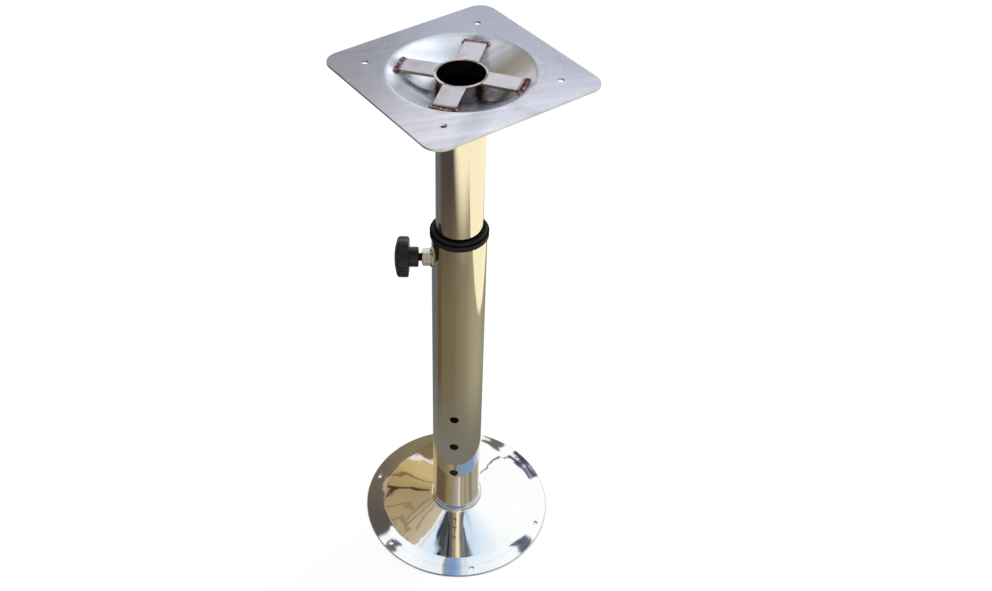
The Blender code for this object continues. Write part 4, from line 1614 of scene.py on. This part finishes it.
@dataclass
class Clamp:
    """The knob, its threaded stud and its thrust pad, turned in the clamp screw's own frame."""

    plastic: MouldedPlastic
    stud_finish: BrightSteel
    pad_finish: MouldedPlastic
    axis: Matrix
    bore: float = 0.0052
    hole_depth: float = 0.0143
    hub: float = 0.0111
    hub_round: float = 0.0012
    hub_length: float = 0.0104
    head: float = 0.0130
    back_round: float = 0.0022
    front_round: float = 0.0038
    front_turn: float = math.radians(75.0)
    dome: float = 0.0030
    lobes: int = 6
    flute: float = 0.0026
    clocking: float = math.radians(20.0)
    thread_pitch: float = 0.0015
    thread_depth: float = 0.00092
    stud_chamfer: float = 0.0006
    socket_radius: float = 0.0023
    socket_depth: float = 0.0045

    def knob(self) -> bpy.types.Object:
        """Turn the knob and press its flutes in.

        Returns:
            The knob: round hub, lobed head with a low dome, and a blind hole for the stud.
        """
        rim, face, _ = node_span("clamp_knob", self.axis)
        back = face + self.hub_length
        front = back + self.head
        centre = (rim - self.front_round, front - self.front_round)
        rounded = arc(centre, self.front_round, 0.0, self.front_turn, 10)
        crown_radius, crown_height = rounded[-1]
        steps = 14
        outline = [(0.0, face + self.hole_depth), (self.bore, face + self.hole_depth), (self.bore, face)]
        foot = (self.hub - self.hub_round, face + self.hub_round)
        root = (self.hub + self.hub_round, back - self.hub_round)
        edge = (rim - self.back_round, back + self.back_round)
        outline += arc(foot, self.hub_round, -math.pi / 2, 0.0, 6)
        outline += arc(root, self.hub_round, math.pi, math.pi / 2, 6)
        outline += arc(edge, self.back_round, -math.pi / 2, 0.0, 8)
        outline += rounded
        for step in range(1, steps + 1):
            share = 1.0 - step / steps
            outline.append((crown_radius * share, crown_height + self.dome * (1.0 - share**2)))
        knob = spun("knob_skin", outline, 144, closed=False)

        def fluted(radius: float, height: float, angle: float) -> float:
            """Pull the head in at its flutes.

            Args:
                radius: A point's radius.
                height: Its height along the screw.
                angle: Its angle round the screw.

            Returns:
                Its new radius.
            """
            if height < back - MERGE or radius < self.hub + 2 * self.hub_round:
                depth = 0.0
            elif radius <= crown_radius:
                depth = self.flute * crown_radius / rim * (radius / crown_radius) ** 3
            else:
                depth = self.flute * radius / rim
            hollow = (0.5 - 0.5 * math.cos(self.lobes * angle)) ** 2
            return radius - depth * hollow

        reshape(knob, fluted)
        place_mesh(knob, self.axis @ Matrix.Rotation(self.clocking, 4, "Z"))
        smooth(knob, 50.0)
        return knob

    def stud(self) -> bpy.types.Object:
        """Turn the stud with many rings along its length, and cut its thread by moving them.

        Returns:
            The stud, drilled at its tip for the pad's spigot.
        """
        crest, tip, end = node_span("clamp_stud", self.axis)
        ring = self.thread_pitch / 10
        threaded = end - tip - 2 * self.stud_chamfer
        count = round(threaded / ring)
        outline = [
            (0.0, tip + self.socket_depth),
            (self.socket_radius, tip + self.socket_depth),
            (self.socket_radius, tip),
            (crest - self.thread_depth, tip),
        ]
        start = tip + self.stud_chamfer
        flat_share, flank_share = 0.12, 0.68
        outline += [(crest, start + threaded * step / count) for step in range(count + 1)]
        outline += [(crest - self.thread_depth, end), (0.0, end)]
        stud = spun("stud_skin", outline, 48, closed=False)

        def threaded_radius(radius: float, height: float, angle: float) -> float:
            """Cut the thread's flanks into the stud's crest.

            Args:
                radius: A point's radius.
                height: Its height along the screw.
                angle: Its angle round the screw.

            Returns:
                Its new radius.
            """
            if radius < crest - 1e-5:
                return radius
            phase = (height / self.thread_pitch - angle / math.tau) % 1.0
            flank = min(1.0, max(0.0, (abs(2.0 * phase - 1.0) - flat_share) / flank_share))
            return crest - self.thread_depth * flank

        reshape(stud, threaded_radius)
        place_mesh(stud, self.axis)
        smooth(stud, 40.0)
        return stud

    def build(self) -> None:
        """Model and dress the clamp's pieces."""
        settle(self.knob(), Body.KNOB, self.plastic.material(), ["clamp_knob"])
        settle(self.stud(), Body.KNOB, self.stud_finish.material(), ["clamp_stud"])
        pad = refined("thrust_pad", 0.0002)
        settle(pad, Body.TIP, self.pad_finish.material(), ["thrust_pad"])


@dataclass
class Studio:
    """The camera, the pale floor, the lamp, and the surroundings that polished steel mirrors."""

    camera_place: tuple[float, float, float] = (-0.54478, -0.76157, 1.22254)
    camera_heading: float = math.radians(-32.228)
    camera_tilt: float = math.radians(48.892)
    camera_roll: float = math.radians(-1.491)
    lens: float = 40.908
    shift: tuple[float, float] = (0.08746, -0.02320)
    reflectance: float = 0.79
    floor_size: float = 40.0
    floor_grey: float = 0.80
    floor_glow: float = 0.72
    world_strength: float = 0.85
    lamp_place: tuple[float, float, float] = (1.5, 0.3, 2.2)
    lamp_aim: tuple[float, float, float] = (0.0, 0.0, 0.3)
    lamp_size: float = 1.6
    lamp_power: float = 26.0

    def seen(self, red: int, green: int, blue: int, bounces: int = 1) -> Colour:
        """The brightness that a thing needs to look like a screen colour, mirrored so many times in steel."""
        return tuple(channel / self.reflectance**bounces for channel in linear(red, green, blue))

    def camera(self) -> None:
        """Place the camera."""
        data = bpy.data.cameras.new("camera")
        data.sensor_width = 36.0
        data.lens = self.lens
        data.shift_x, data.shift_y = self.shift
        data.clip_start = 0.01
        camera = bpy.data.objects.new("camera", data)
        turn = (
            Matrix.Rotation(self.camera_heading, 4, "Z")
            @ Matrix.Rotation(self.camera_tilt, 4, "X")
            @ Matrix.Rotation(self.camera_roll, 4, "Z")
        )
        camera.matrix_world = Matrix.Translation(self.camera_place) @ turn
        bpy.context.scene.collection.objects.link(camera)
        bpy.context.scene.camera = camera

    def painted(
        self, wiring: Wiring, value: object, span: float, stops: Sequence[Sequence[float]]
    ) -> bpy.types.NodeSocket:
        """A mirrored colour looked up along a scale of degrees.

        Args:
            wiring: The tree's wiring.
            value: The place on the scale.
            span: The scale's length.
            stops: Each stop's place, its screen colour, and the number of mirrorings where it isn't 1.

        Returns:
            The colour.
        """
        shares = [(degrees / span, self.seen(*colour)) for degrees, *colour in stops]
        return wiring.ramp(wiring.math("DIVIDE", value, span), shares)

    def round_ramp(
        self, wiring: Wiring, turn: object, stops: Sequence[Sequence[float]]
    ) -> bpy.types.NodeSocket:
        """A mirrored colour by the direction round Z, joined where the turn ends.

        Args:
            wiring: The tree's wiring.
            turn: The direction, 0 to 360 degrees.
            stops: Each stop's direction, its screen colour, and the number of mirrorings where it isn't 1.

        Returns:
            The colour.
        """
        shares = [(degrees / 360.0, self.seen(*colour)) for degrees, *colour in stops]
        (first, start), (last, end) = shares[0], shares[-1]
        past = (1.0 - last) / (first + 1.0 - last)
        joint = tuple(high + (low - high) * past for low, high in zip(start, end))
        return wiring.ramp(wiring.math("DIVIDE", turn, 360.0), [(0.0, joint), *shares, (1.0, joint)])

    def direction(self, wiring: Wiring, x: object, y: object) -> bpy.types.NodeSocket:
        """The direction round Z in degrees, 0 to 360, counted from +X towards +Y."""
        turn = wiring.math("DIVIDE", wiring.math("ARCTAN2", y, x), math.tau)
        return wiring.product(wiring.math("FRACT", wiring.math("ADD", turn, 1.0)), 360.0)

    def ground_colours(self, wiring: Wiring) -> bpy.types.NodeSocket:
        """Paint the ground that the tubes mirror: warm shade round the column, sunlit cream beyond.

        Args:
            wiring: The floor material's wiring.

        Returns:
            The colour.
        """
        place = wiring.place()
        x, y, _ = wiring.split(place)
        radius, _ = wiring.radius_height(place)
        shade = self.round_ramp(
            wiring,
            self.direction(wiring, x, y),
            [
                (60.0, 120, 118, 104), (100.0, 92, 100, 100), (130.0, 98, 102, 98), (139.0, 94, 82, 68),
                (146.0, 92, 74, 54), (154.0, 98, 80, 56), (166.0, 110, 100, 74), (216.0, 115, 103, 79),
                (241.0, 130, 118, 95), (266.0, 136, 127, 101), (295.0, 158, 150, 120),
                (330.0, 162, 155, 126),
            ],
        )
        near = wiring.remap(radius, 0.12, 0.30, 1.0, 0.0)
        greyed = wiring.blend(near, shade, self.seen(117, 114, 104))
        far_left = wiring.remap(x, -0.35, -0.80)
        dim = wiring.blend(far_left, greyed, self.seen(74, 64, 60))
        # The sun falls past a straight edge on the right, and again far in front of the column.
        # Behind the column the shade reaches further out.
        side = wiring.math("ADD", wiring.product(x, 0.916), wiring.product(y, -0.402))
        sun_right = wiring.remap(wiring.math("ADD", side, wiring.sway(place, 5.0, 3.0, 0.05)), 0.395, 0.420)
        front = wiring.math("ADD", y, wiring.product(x, 0.35))
        sun_front = wiring.remap(front, -0.55, -0.86)
        across = wiring.math("ADD", wiring.product(x, -0.35), y)
        close = wiring.remap(radius, 0.62, 0.50)
        shaded_back = wiring.product(wiring.remap(across, -0.02, 0.06), close)
        sun_side = wiring.product(sun_right, wiring.math("SUBTRACT", 1.0, shaded_back))
        sun = wiring.math("MAXIMUM", sun_side, sun_front)
        speckle = wiring.remap(wiring.noise(place, 160.0, 3.0), 0.3, 0.7, 0.92, 1.06)
        lit = wiring.blend(sun, dim, self.seen(250, 238, 200))
        grey = wiring.add("CombineXYZ", {0: speckle, 1: speckle, 2: speckle}).outputs[0]
        return wiring.blend(1.0, lit, grey, "MULTIPLY")

    def floor(self) -> None:
        """Lay the floor: white to the eye with a soft shadow, pale to the light, painted for mirrors."""
        bpy.ops.object.select_all(action="DESELECT")
        bpy.ops.mesh.primitive_plane_add(size=self.floor_size, location=(0.0, 0.0, 0.0))
        floor = bpy.context.object
        floor.name = "floor"
        material, wiring, shader = new_material("pale_floor")
        shader.inputs["Base Color"].default_value = (self.floor_grey, self.floor_grey, self.floor_grey, 1.0)
        shader.inputs["Roughness"].default_value = 0.9
        shader.inputs["Specular IOR Level"].default_value = 0.0
        path = wiring.add("LightPath")
        white = wiring.add("BsdfDiffuse", {"Color": (1.0, 1.0, 1.0)}).outputs[0]
        glow = wiring.add("Emission", {"Color": (1.0, 1.0, 1.0), "Strength": 1.0}).outputs[0]
        pale = wiring.add("MixShader", {0: self.floor_glow, 1: white, 2: glow}).outputs[0]
        mirrored = wiring.add("Emission", {"Color": self.ground_colours(wiring), "Strength": 1.0}).outputs[0]
        by_eye, by_mirror = path.outputs["Is Camera Ray"], path.outputs["Is Glossy Ray"]
        shown = wiring.add("MixShader", {0: by_eye, 1: shader.outputs[0], 2: pale}).outputs[0]
        surface = wiring.add("MixShader", {0: by_mirror, 1: shown, 2: mirrored}).outputs[0]
        wiring.feed(material.node_tree.nodes["Material Output"].inputs["Surface"], surface)
        floor.data.materials.append(material)

    def open_sky(self, wiring: Wiring, turn: object, rise: object) -> bpy.types.NodeSocket:
        """Paint the open sky: white low at the right, blue overhead, and warm shade low behind the camera.

        Args:
            wiring: The world's wiring.
            turn: The direction round Z in degrees.
            rise: The elevation in degrees.

        Returns:
            The colour.
        """
        bright = self.painted(
            wiring,
            rise,
            90.0,
            [
                (0.0, 253, 253, 253), (55.8, 253, 253, 254), (64.8, 247, 250, 253),
                (70.2, 226, 237, 248), (75.6, 205, 222, 240), (79.2, 200, 218, 239),
                (90.0, 150, 185, 225),
            ],
        )
        blue = self.round_ramp(
            wiring,
            turn,
            [
                (20.0, 250, 252, 254), (100.0, 225, 234, 244), (131.0, 130, 142, 150, 2),
                (165.0, 118, 150, 190, 2), (230.0, 125, 152, 190, 2), (252.0, 138, 170, 211, 2),
                (274.0, 153, 182, 213, 2), (298.0, 235, 242, 250),
            ],
        )
        behind = wiring.product(wiring.remap(turn, 104.0, 128.0), wiring.remap(turn, 290.0, 345.0, 1.0, 0.0))
        sky = wiring.blend(behind, bright, blue)
        # Nearer the horizon two more rings of colours take over, and one more near the zenith
        middle = self.round_ramp(
            wiring,
            turn,
            [
                (8.0, 253, 253, 253), (98.0, 253, 253, 253), (110.0, 119, 107, 86, 2),
                (144.0, 116, 104, 79, 2), (168.0, 122, 108, 80, 2), (189.0, 135, 118, 85, 2),
                (202.0, 148, 127, 89, 2), (215.0, 156, 147, 118, 2), (227.0, 105, 101, 82, 2),
                (240.0, 140, 147, 140, 2), (252.0, 133, 147, 153, 2), (265.0, 118, 147, 180, 2),
                (303.0, 124, 151, 186, 2), (319.0, 132, 154, 186, 2), (336.0, 165, 175, 200, 2),
                (352.0, 195, 204, 205, 2),
            ],
        )
        low = self.round_ramp(
            wiring,
            turn,
            [
                (10.0, 253, 253, 253), (96.0, 253, 253, 253), (106.0, 120, 105, 80),
                (131.0, 100, 85, 64, 2), (165.0, 95, 82, 63, 2), (178.0, 99, 88, 58, 2),
                (191.0, 132, 118, 78, 2), (216.0, 140, 133, 104, 2), (229.0, 152, 147, 150, 2),
                (240.0, 170, 160, 150, 2), (251.0, 225, 215, 200, 2), (255.0, 143, 127, 100, 2),
                (264.0, 175, 160, 140, 2), (276.0, 145, 135, 112, 2), (289.0, 170, 160, 137, 2),
                (303.0, 125, 115, 95, 2), (319.0, 166, 156, 136, 2), (356.0, 160, 156, 146, 2),
            ],
        )
        over_middle = wiring.blend(wiring.remap(rise, 38.0, 46.0, 1.0, 0.0), sky, middle)
        over_low = wiring.blend(wiring.remap(rise, 31.0, 35.0, 1.0, 0.0), over_middle, low)
        high = self.round_ramp(
            wiring,
            turn,
            [
                (22.0, 206, 222, 240), (32.0, 200, 216, 234), (35.0, 90, 112, 130),
                (40.0, 110, 130, 150), (60.0, 190, 206, 222), (70.0, 62, 66, 68), (92.0, 66, 68, 70),
                (129.0, 80, 80, 80, 2), (166.0, 82, 80, 78, 2), (191.0, 112, 102, 96, 2),
                (215.0, 170, 152, 120, 2), (226.0, 190, 166, 130, 2), (251.0, 228, 203, 168, 2),
                (266.0, 250, 223, 198, 2), (279.0, 200, 190, 165, 2), (305.0, 112, 104, 92, 2),
                (320.0, 78, 92, 110, 2), (352.0, 102, 115, 118, 2),
            ],
        )
        return wiring.blend(wiring.remap(rise, 73.0, 75.5), over_low, high)

    def stone_wall(
        self, wiring: Wiring, sky: object, turn: object, rise: object, rough: object
    ) -> bpy.types.NodeSocket:
        """Paint the warm stone wall and the dark strip before it, on the left of the sky.

        Args:
            wiring: The world's wiring.
            sky: The colour behind the wall.
            turn: The direction round Z in degrees.
            rise: The elevation in degrees.
            rough: Noise round 0, about 1 degree high.

        Returns:
            The colour.
        """
        uneven = wiring.math("ADD", rise, rough)
        stone = self.painted(
            wiring,
            uneven,
            90.0,
            [
                (24.0, 190, 168, 120), (31.0, 200, 176, 126), (35.0, 190, 166, 114),
                (38.0, 176, 153, 106), (41.0, 164, 142, 100), (45.0, 160, 140, 104),
                (49.0, 168, 148, 112), (53.0, 164, 147, 114), (58.0, 178, 162, 132),
                (64.0, 186, 172, 146), (70.0, 196, 184, 164),
            ],
        )
        top = wiring.remap(turn, 86.0, 97.0, 66.0, 71.5)
        above = wiring.math("SUBTRACT", wiring.math("ADD", rise, wiring.product(rough, 0.5)), top)
        crown = self.painted(
            wiring,
            above,
            10.0,
            [
                (0.0, 238, 236, 246), (1.8, 240, 239, 249), (2.2, 226, 190, 168), (2.7, 224, 196, 180),
                (3.1, 204, 220, 238),
            ],
        )
        joints = self.cracked(wiring, stone, turn, rise, rough)
        topped = wiring.blend(wiring.remap(above, -0.15, 0.15), joints, crown)
        # The wall ends along a line that slants with the elevation, with a pale rail just past it
        line = wiring.math("ADD", wiring.product(wiring.math("MINIMUM", rise, 57.0), 0.82), 40.5)
        past = wiring.math("SUBTRACT", wiring.math("ADD", turn, rough), line)
        rail = wiring.remap(wiring.math("ABSOLUTE", wiring.math("SUBTRACT", past, 0.7)), 0.9, 0.5)
        rail = wiring.product(rail, wiring.remap(uneven, 37.5, 35.0))
        topped = wiring.blend(rail, topped, self.seen(228, 220, 228))
        left = wiring.product(
            wiring.remap(past, -1.0, 1.0),
            wiring.remap(turn, 118.0, 130.0, 1.0, 0.0),
            wiring.remap(uneven, 22.0, 22.4),
            wiring.remap(above, 3.4, 4.2, 1.0, 0.0),
        )
        strip = wiring.product(
            wiring.remap(wiring.math("ADD", turn, rough), 58.0, 60.0),
            wiring.remap(past, 1.0, -1.0),
            wiring.remap(uneven, 22.0, 22.4),
            wiring.remap(uneven, 57.5, 59.0, 1.0, 0.0),
        )
        shaded = self.painted(
            wiring,
            rise,
            90.0,
            [
                (25.2, 128, 112, 80), (34.2, 118, 103, 72), (36.9, 128, 117, 92), (42.3, 108, 99, 84),
                (54.0, 88, 81, 77),
            ],
        )
        return wiring.blend(left, wiring.blend(strip, sky, shaded), topped)

    def stroke(
        self, wiring: Wiring, point: object, path: Sequence[tuple[float, float]], width: float
    ) -> bpy.types.NodeSocket:
        """Draw a line from direction to direction on the surroundings.

        Args:
            wiring: The world's wiring.
            point: The direction and elevation in degrees, as a vector.
            path: The directions and elevations that the line runs through.
            width: Half its width in degrees.

        Returns:
            The line's mask.
        """
        nearest = None
        for start, end in zip(path, path[1:]):
            run = (end[0] - start[0], end[1] - start[1], 0.0)
            away = wiring.vector_math("SUBTRACT", point, (*start, 0.0)).outputs[0]
            dot = wiring.vector_math("DOT_PRODUCT", away, run).outputs["Value"]
            share = wiring.math("DIVIDE", dot, run[0] ** 2 + run[1] ** 2, clamp=True)
            scaled = wiring.vector_math("SCALE", run)
            wiring.feed(scaled.inputs["Scale"], share)
            gap = wiring.vector_math("DISTANCE", away, scaled.outputs[0]).outputs["Value"]
            nearest = gap if nearest is None else wiring.math("MINIMUM", nearest, gap)
        return wiring.remap(nearest, 1.3 * width, 0.5 * width)

    def cracked(
        self, wiring: Wiring, stone: object, turn: object, rise: object, rough: object
    ) -> bpy.types.NodeSocket:
        """Draw the wall's joints and cracks over its stones.

        Args:
            wiring: The world's wiring.
            stone: The stones' colour.
            turn: The direction round Z in degrees.
            rise: The elevation in degrees.
            rough: Noise round 0, about 1 degree high.

        Returns:
            The colour.
        """
        small = wiring.product(rough, 0.22)
        point = wiring.add(
            "CombineXYZ", {0: wiring.math("ADD", turn, small), 1: wiring.math("SUBTRACT", rise, small)}
        ).outputs[0]
        dark, olive, pale = (66, 44, 32), (122, 100, 66), (140, 120, 90)
        cracks = (
            (0.55, dark, ((86.0, 42.0), (82.6, 40.6), (81.6, 41.6), (80.0, 42.8), (78.5, 43.0))),
            (0.50, dark, ((81.6, 41.8), (83.5, 45.5), (81.5, 48.5))),
            (0.45, olive, ((78.6, 34.8), (76.8, 35.3), (75.2, 35.7), (77.0, 37.8), (74.0, 42.0))),
            (0.45, pale, ((84.0, 49.5), (89.0, 50.0), (92.5, 55.0))),
            (0.50, pale, ((93.5, 51.5), (94.0, 55.5), (92.5, 58.0))),
            (0.45, pale, ((97.5, 56.0), (95.5, 59.0), (93.0, 60.0))),
            (0.40, pale, ((99.5, 61.5), (97.2, 62.3), (95.0, 63.8), (93.5, 65.0))),
            (0.40, pale, ((86.5, 54.0), (90.5, 55.5), (92.3, 59.0), (92.2, 62.5))),
            (0.40, pale, ((88.0, 57.5), (90.8, 59.4), (91.0, 62.5))),
            (0.40, pale, ((88.5, 60.5), (89.5, 62.0), (90.5, 65.0))),
        )
        for width, tone, path in cracks:
            stone = wiring.blend(self.stroke(wiring, point, path, width), stone, self.seen(*tone))
        return stone

    def sky_colours(self, wiring: Wiring) -> bpy.types.NodeSocket:
        """Paint what the steel mirrors above the floor.

        Args:
            wiring: The world's wiring.

        Returns:
            The colour.
        """
        pointing = wiring.add("TexCoord").outputs["Generated"]
        x, y, z = wiring.split(pointing)
        turn = self.direction(wiring, x, y)
        rise = wiring.product(wiring.math("ARCSINE", z), 180.0 / math.pi)
        fine = wiring.sway(pointing, 34.0, 3.0, 3.0)
        rough = wiring.math("ADD", fine, wiring.sway(pointing, 11.0, 1.0, 7.0))
        colours = self.stone_wall(wiring, self.open_sky(wiring, turn, rise), turn, rise, rough)
        patches = (
            (46.8, 36.9, 2.6, 0.8, (104, 98, 88)),
            (28.8, 60.3, 1.2, 2.2, (84, 88, 112)),
            (79.2, 61.6, 0.9, 1.5, (84, 76, 86)),
            (87.2, 74.5, 3.2, 1.0, (22, 50, 92)),
        )
        small = wiring.product(rough, 0.35)
        ragged_turn = wiring.math("ADD", turn, small)
        ragged_rise = wiring.math("SUBTRACT", rise, small)
        for centre_turn, centre_rise, width, height, colour in patches:
            aside = wiring.math("DIVIDE", wiring.math("SUBTRACT", ragged_turn, centre_turn), width)
            over = wiring.math("DIVIDE", wiring.math("SUBTRACT", ragged_rise, centre_rise), height)
            reach = wiring.math("ADD", wiring.math("POWER", aside, 2.0), wiring.math("POWER", over, 2.0))
            colours = wiring.blend(wiring.remap(reach, 1.3, 0.7), colours, self.seen(*colour))
        point = wiring.add("CombineXYZ", {0: ragged_turn, 1: ragged_rise}).outputs[0]
        branches = (
            (0.32, (62, 72, 128), ((39.9, 28.9), (41.2, 30.3), (41.5, 32.6), (41.2, 36.0), (41.4, 39.0))),
            (0.55, (40, 44, 78), ((41.8, 38.9), (40.4, 40.0), (39.6, 40.8))),
            (0.55, (58, 62, 104), ((39.4, 40.0), (38.4, 41.5), (36.4, 43.0))),
        )
        for width, colour, path in branches:
            colours = wiring.blend(self.stroke(wiring, point, path, width), colours, self.seen(*colour))
        return colours

    def world(self) -> None:
        """Light the scene evenly, and show the camera a white background."""
        world = bpy.data.worlds.new("studio")
        bpy.context.scene.world = world
        world.use_nodes = True
        wiring = Wiring(world.node_tree)
        plain = wiring.tree.nodes["Background"]
        plain.inputs["Color"].default_value = (1.0, 1.0, 1.0, 1.0)
        plain.inputs["Strength"].default_value = self.world_strength
        white = wiring.add("Background", {"Color": (1.0, 1.0, 1.0), "Strength": 1.0}).outputs[0]
        mirrored = wiring.add("Background", {"Color": self.sky_colours(wiring), "Strength": 1.0}).outputs[0]
        path = wiring.add("LightPath")
        lit = wiring.add("MixShader", {0: path.outputs["Is Glossy Ray"], 1: plain.outputs[0], 2: mirrored})
        shown = wiring.add("MixShader", {0: path.outputs["Is Camera Ray"], 1: lit.outputs[0], 2: white})
        wiring.feed(wiring.tree.nodes["World Output"].inputs["Surface"], shown.outputs[0])

    def lamp(self) -> None:
        """Hang one wide soft lamp at the right."""
        data = bpy.data.lights.new("soft_lamp", "AREA")
        data.shape = "DISK"
        data.size = self.lamp_size
        data.energy = self.lamp_power
        lamp = bpy.data.objects.new("soft_lamp", data)
        place = Vector(self.lamp_place)
        aim = (place - Vector(self.lamp_aim)).to_track_quat("Z", "Y").to_matrix().to_4x4()
        lamp.matrix_world = Matrix.Translation(place) @ aim
        lamp.visible_glossy = False
        bpy.context.scene.collection.objects.link(lamp)

    def build(self) -> None:
        """Set up the whole studio."""
        self.camera()
        self.floor()
        self.world()
        self.lamp()
        bpy.context.scene.view_settings.view_transform = "Standard"


def main() -> None:
    """Build the pedestal from the floor up, in its studio."""
    logging.basicConfig(level=logging.INFO, format="%(name)s %(message)s")
    Studio().build()
    tube_radius, _, tube_top = node_span("inner_tube")
    column_radius, _, _ = node_span("outer_tube")
    gusset_end, _, gusset_top = node_span("plate_gusset_1")
    azimuths = Mast.gusset_azimuths
    welds = tuple((gusset_end * math.cos(a), gusset_end * math.sin(a), gusset_top) for a in azimuths)
    # Painted shadow falls in the dish in the lee of these two gussets, on the given sides
    shadowed_gusset_sides = ((azimuths[1], 1.0), (azimuths[3], -1.0))
    satin = BrushedPlate("brushed_stainless", welds, Mast.dish_radius, tube_radius, shadowed_gusset_sides)
    bars = BarSteel("bar_steel", gusset_end - 0.001)
    weld = WeldMetal("weld_metal")
    black = MouldedPlastic("black_plastic", (0.011, 0.011, 0.010), (0.021, 0.021, 0.020), gloss=0.32)
    nylon = MouldedPlastic("nylon", (0.72, 0.70, 0.64), (0.60, 0.58, 0.52), 0.45)
    bright = BrightSteel("bright_steel", linear(214, 212, 202), linear(130, 122, 92), 0.12, 0.12)
    nut_weld = WeldMetal(
        "nut_weld_metal",
        scale_colour=linear(44, 34, 28),
        bright_colour=linear(238, 236, 230),
        tint_colour=linear(206, 200, 184),
        scaled=0.42,
    )
    collar_black = MouldedPlastic(
        "collar_plastic", (0.009, 0.009, 0.010), (0.016, 0.016, 0.017), roughness=0.58, gloss=0.2
    )
    # The stud is dark brown all over: partly its own brown steel, and partly painted shade from the knob
    # above it
    threaded = BrightSteel("threaded_steel", linear(96, 76, 58), linear(46, 34, 26), 0.4, 0.24)
    base_polish = PolishedStainless("polished_base", (0.80, 0.80, 0.79), ring_height=0.00007, marks=0.008)
    # The tubes' inner walls are bare steel, so each limit is just outside the bore
    past_bore = 0.0002
    browned_length = 0.020
    column_polish = PolishedStainless(
        "polished_column",
        wave_scale=14.0,
        wave_height=0.00002,
        bare_within=column_radius - Column.wall + past_bore,
    )
    mast_polish = PolishedStainless(
        "polished_mast",
        wave_scale=14.0,
        wave_height=0.00002,
        bare_within=tube_radius - Mast.wall + past_bore,
        heated_from=tube_top - browned_length,
        mouth=tube_top,
    )
    for part in (
        Base(base_polish, bars, weld),
        Column(column_polish, collar_black, bright, nut_weld),
        Mast(mast_polish, satin, bars, weld),
        Glide(nylon),
        Clamp(black, threaded, nylon, clamp_axis(Column.clamp_azimuth, Column.clamp_height)),
    ):
        part.build()
        LOG.info("%s done", type(part).__name__)


if __name__ == "__main__":
    main()
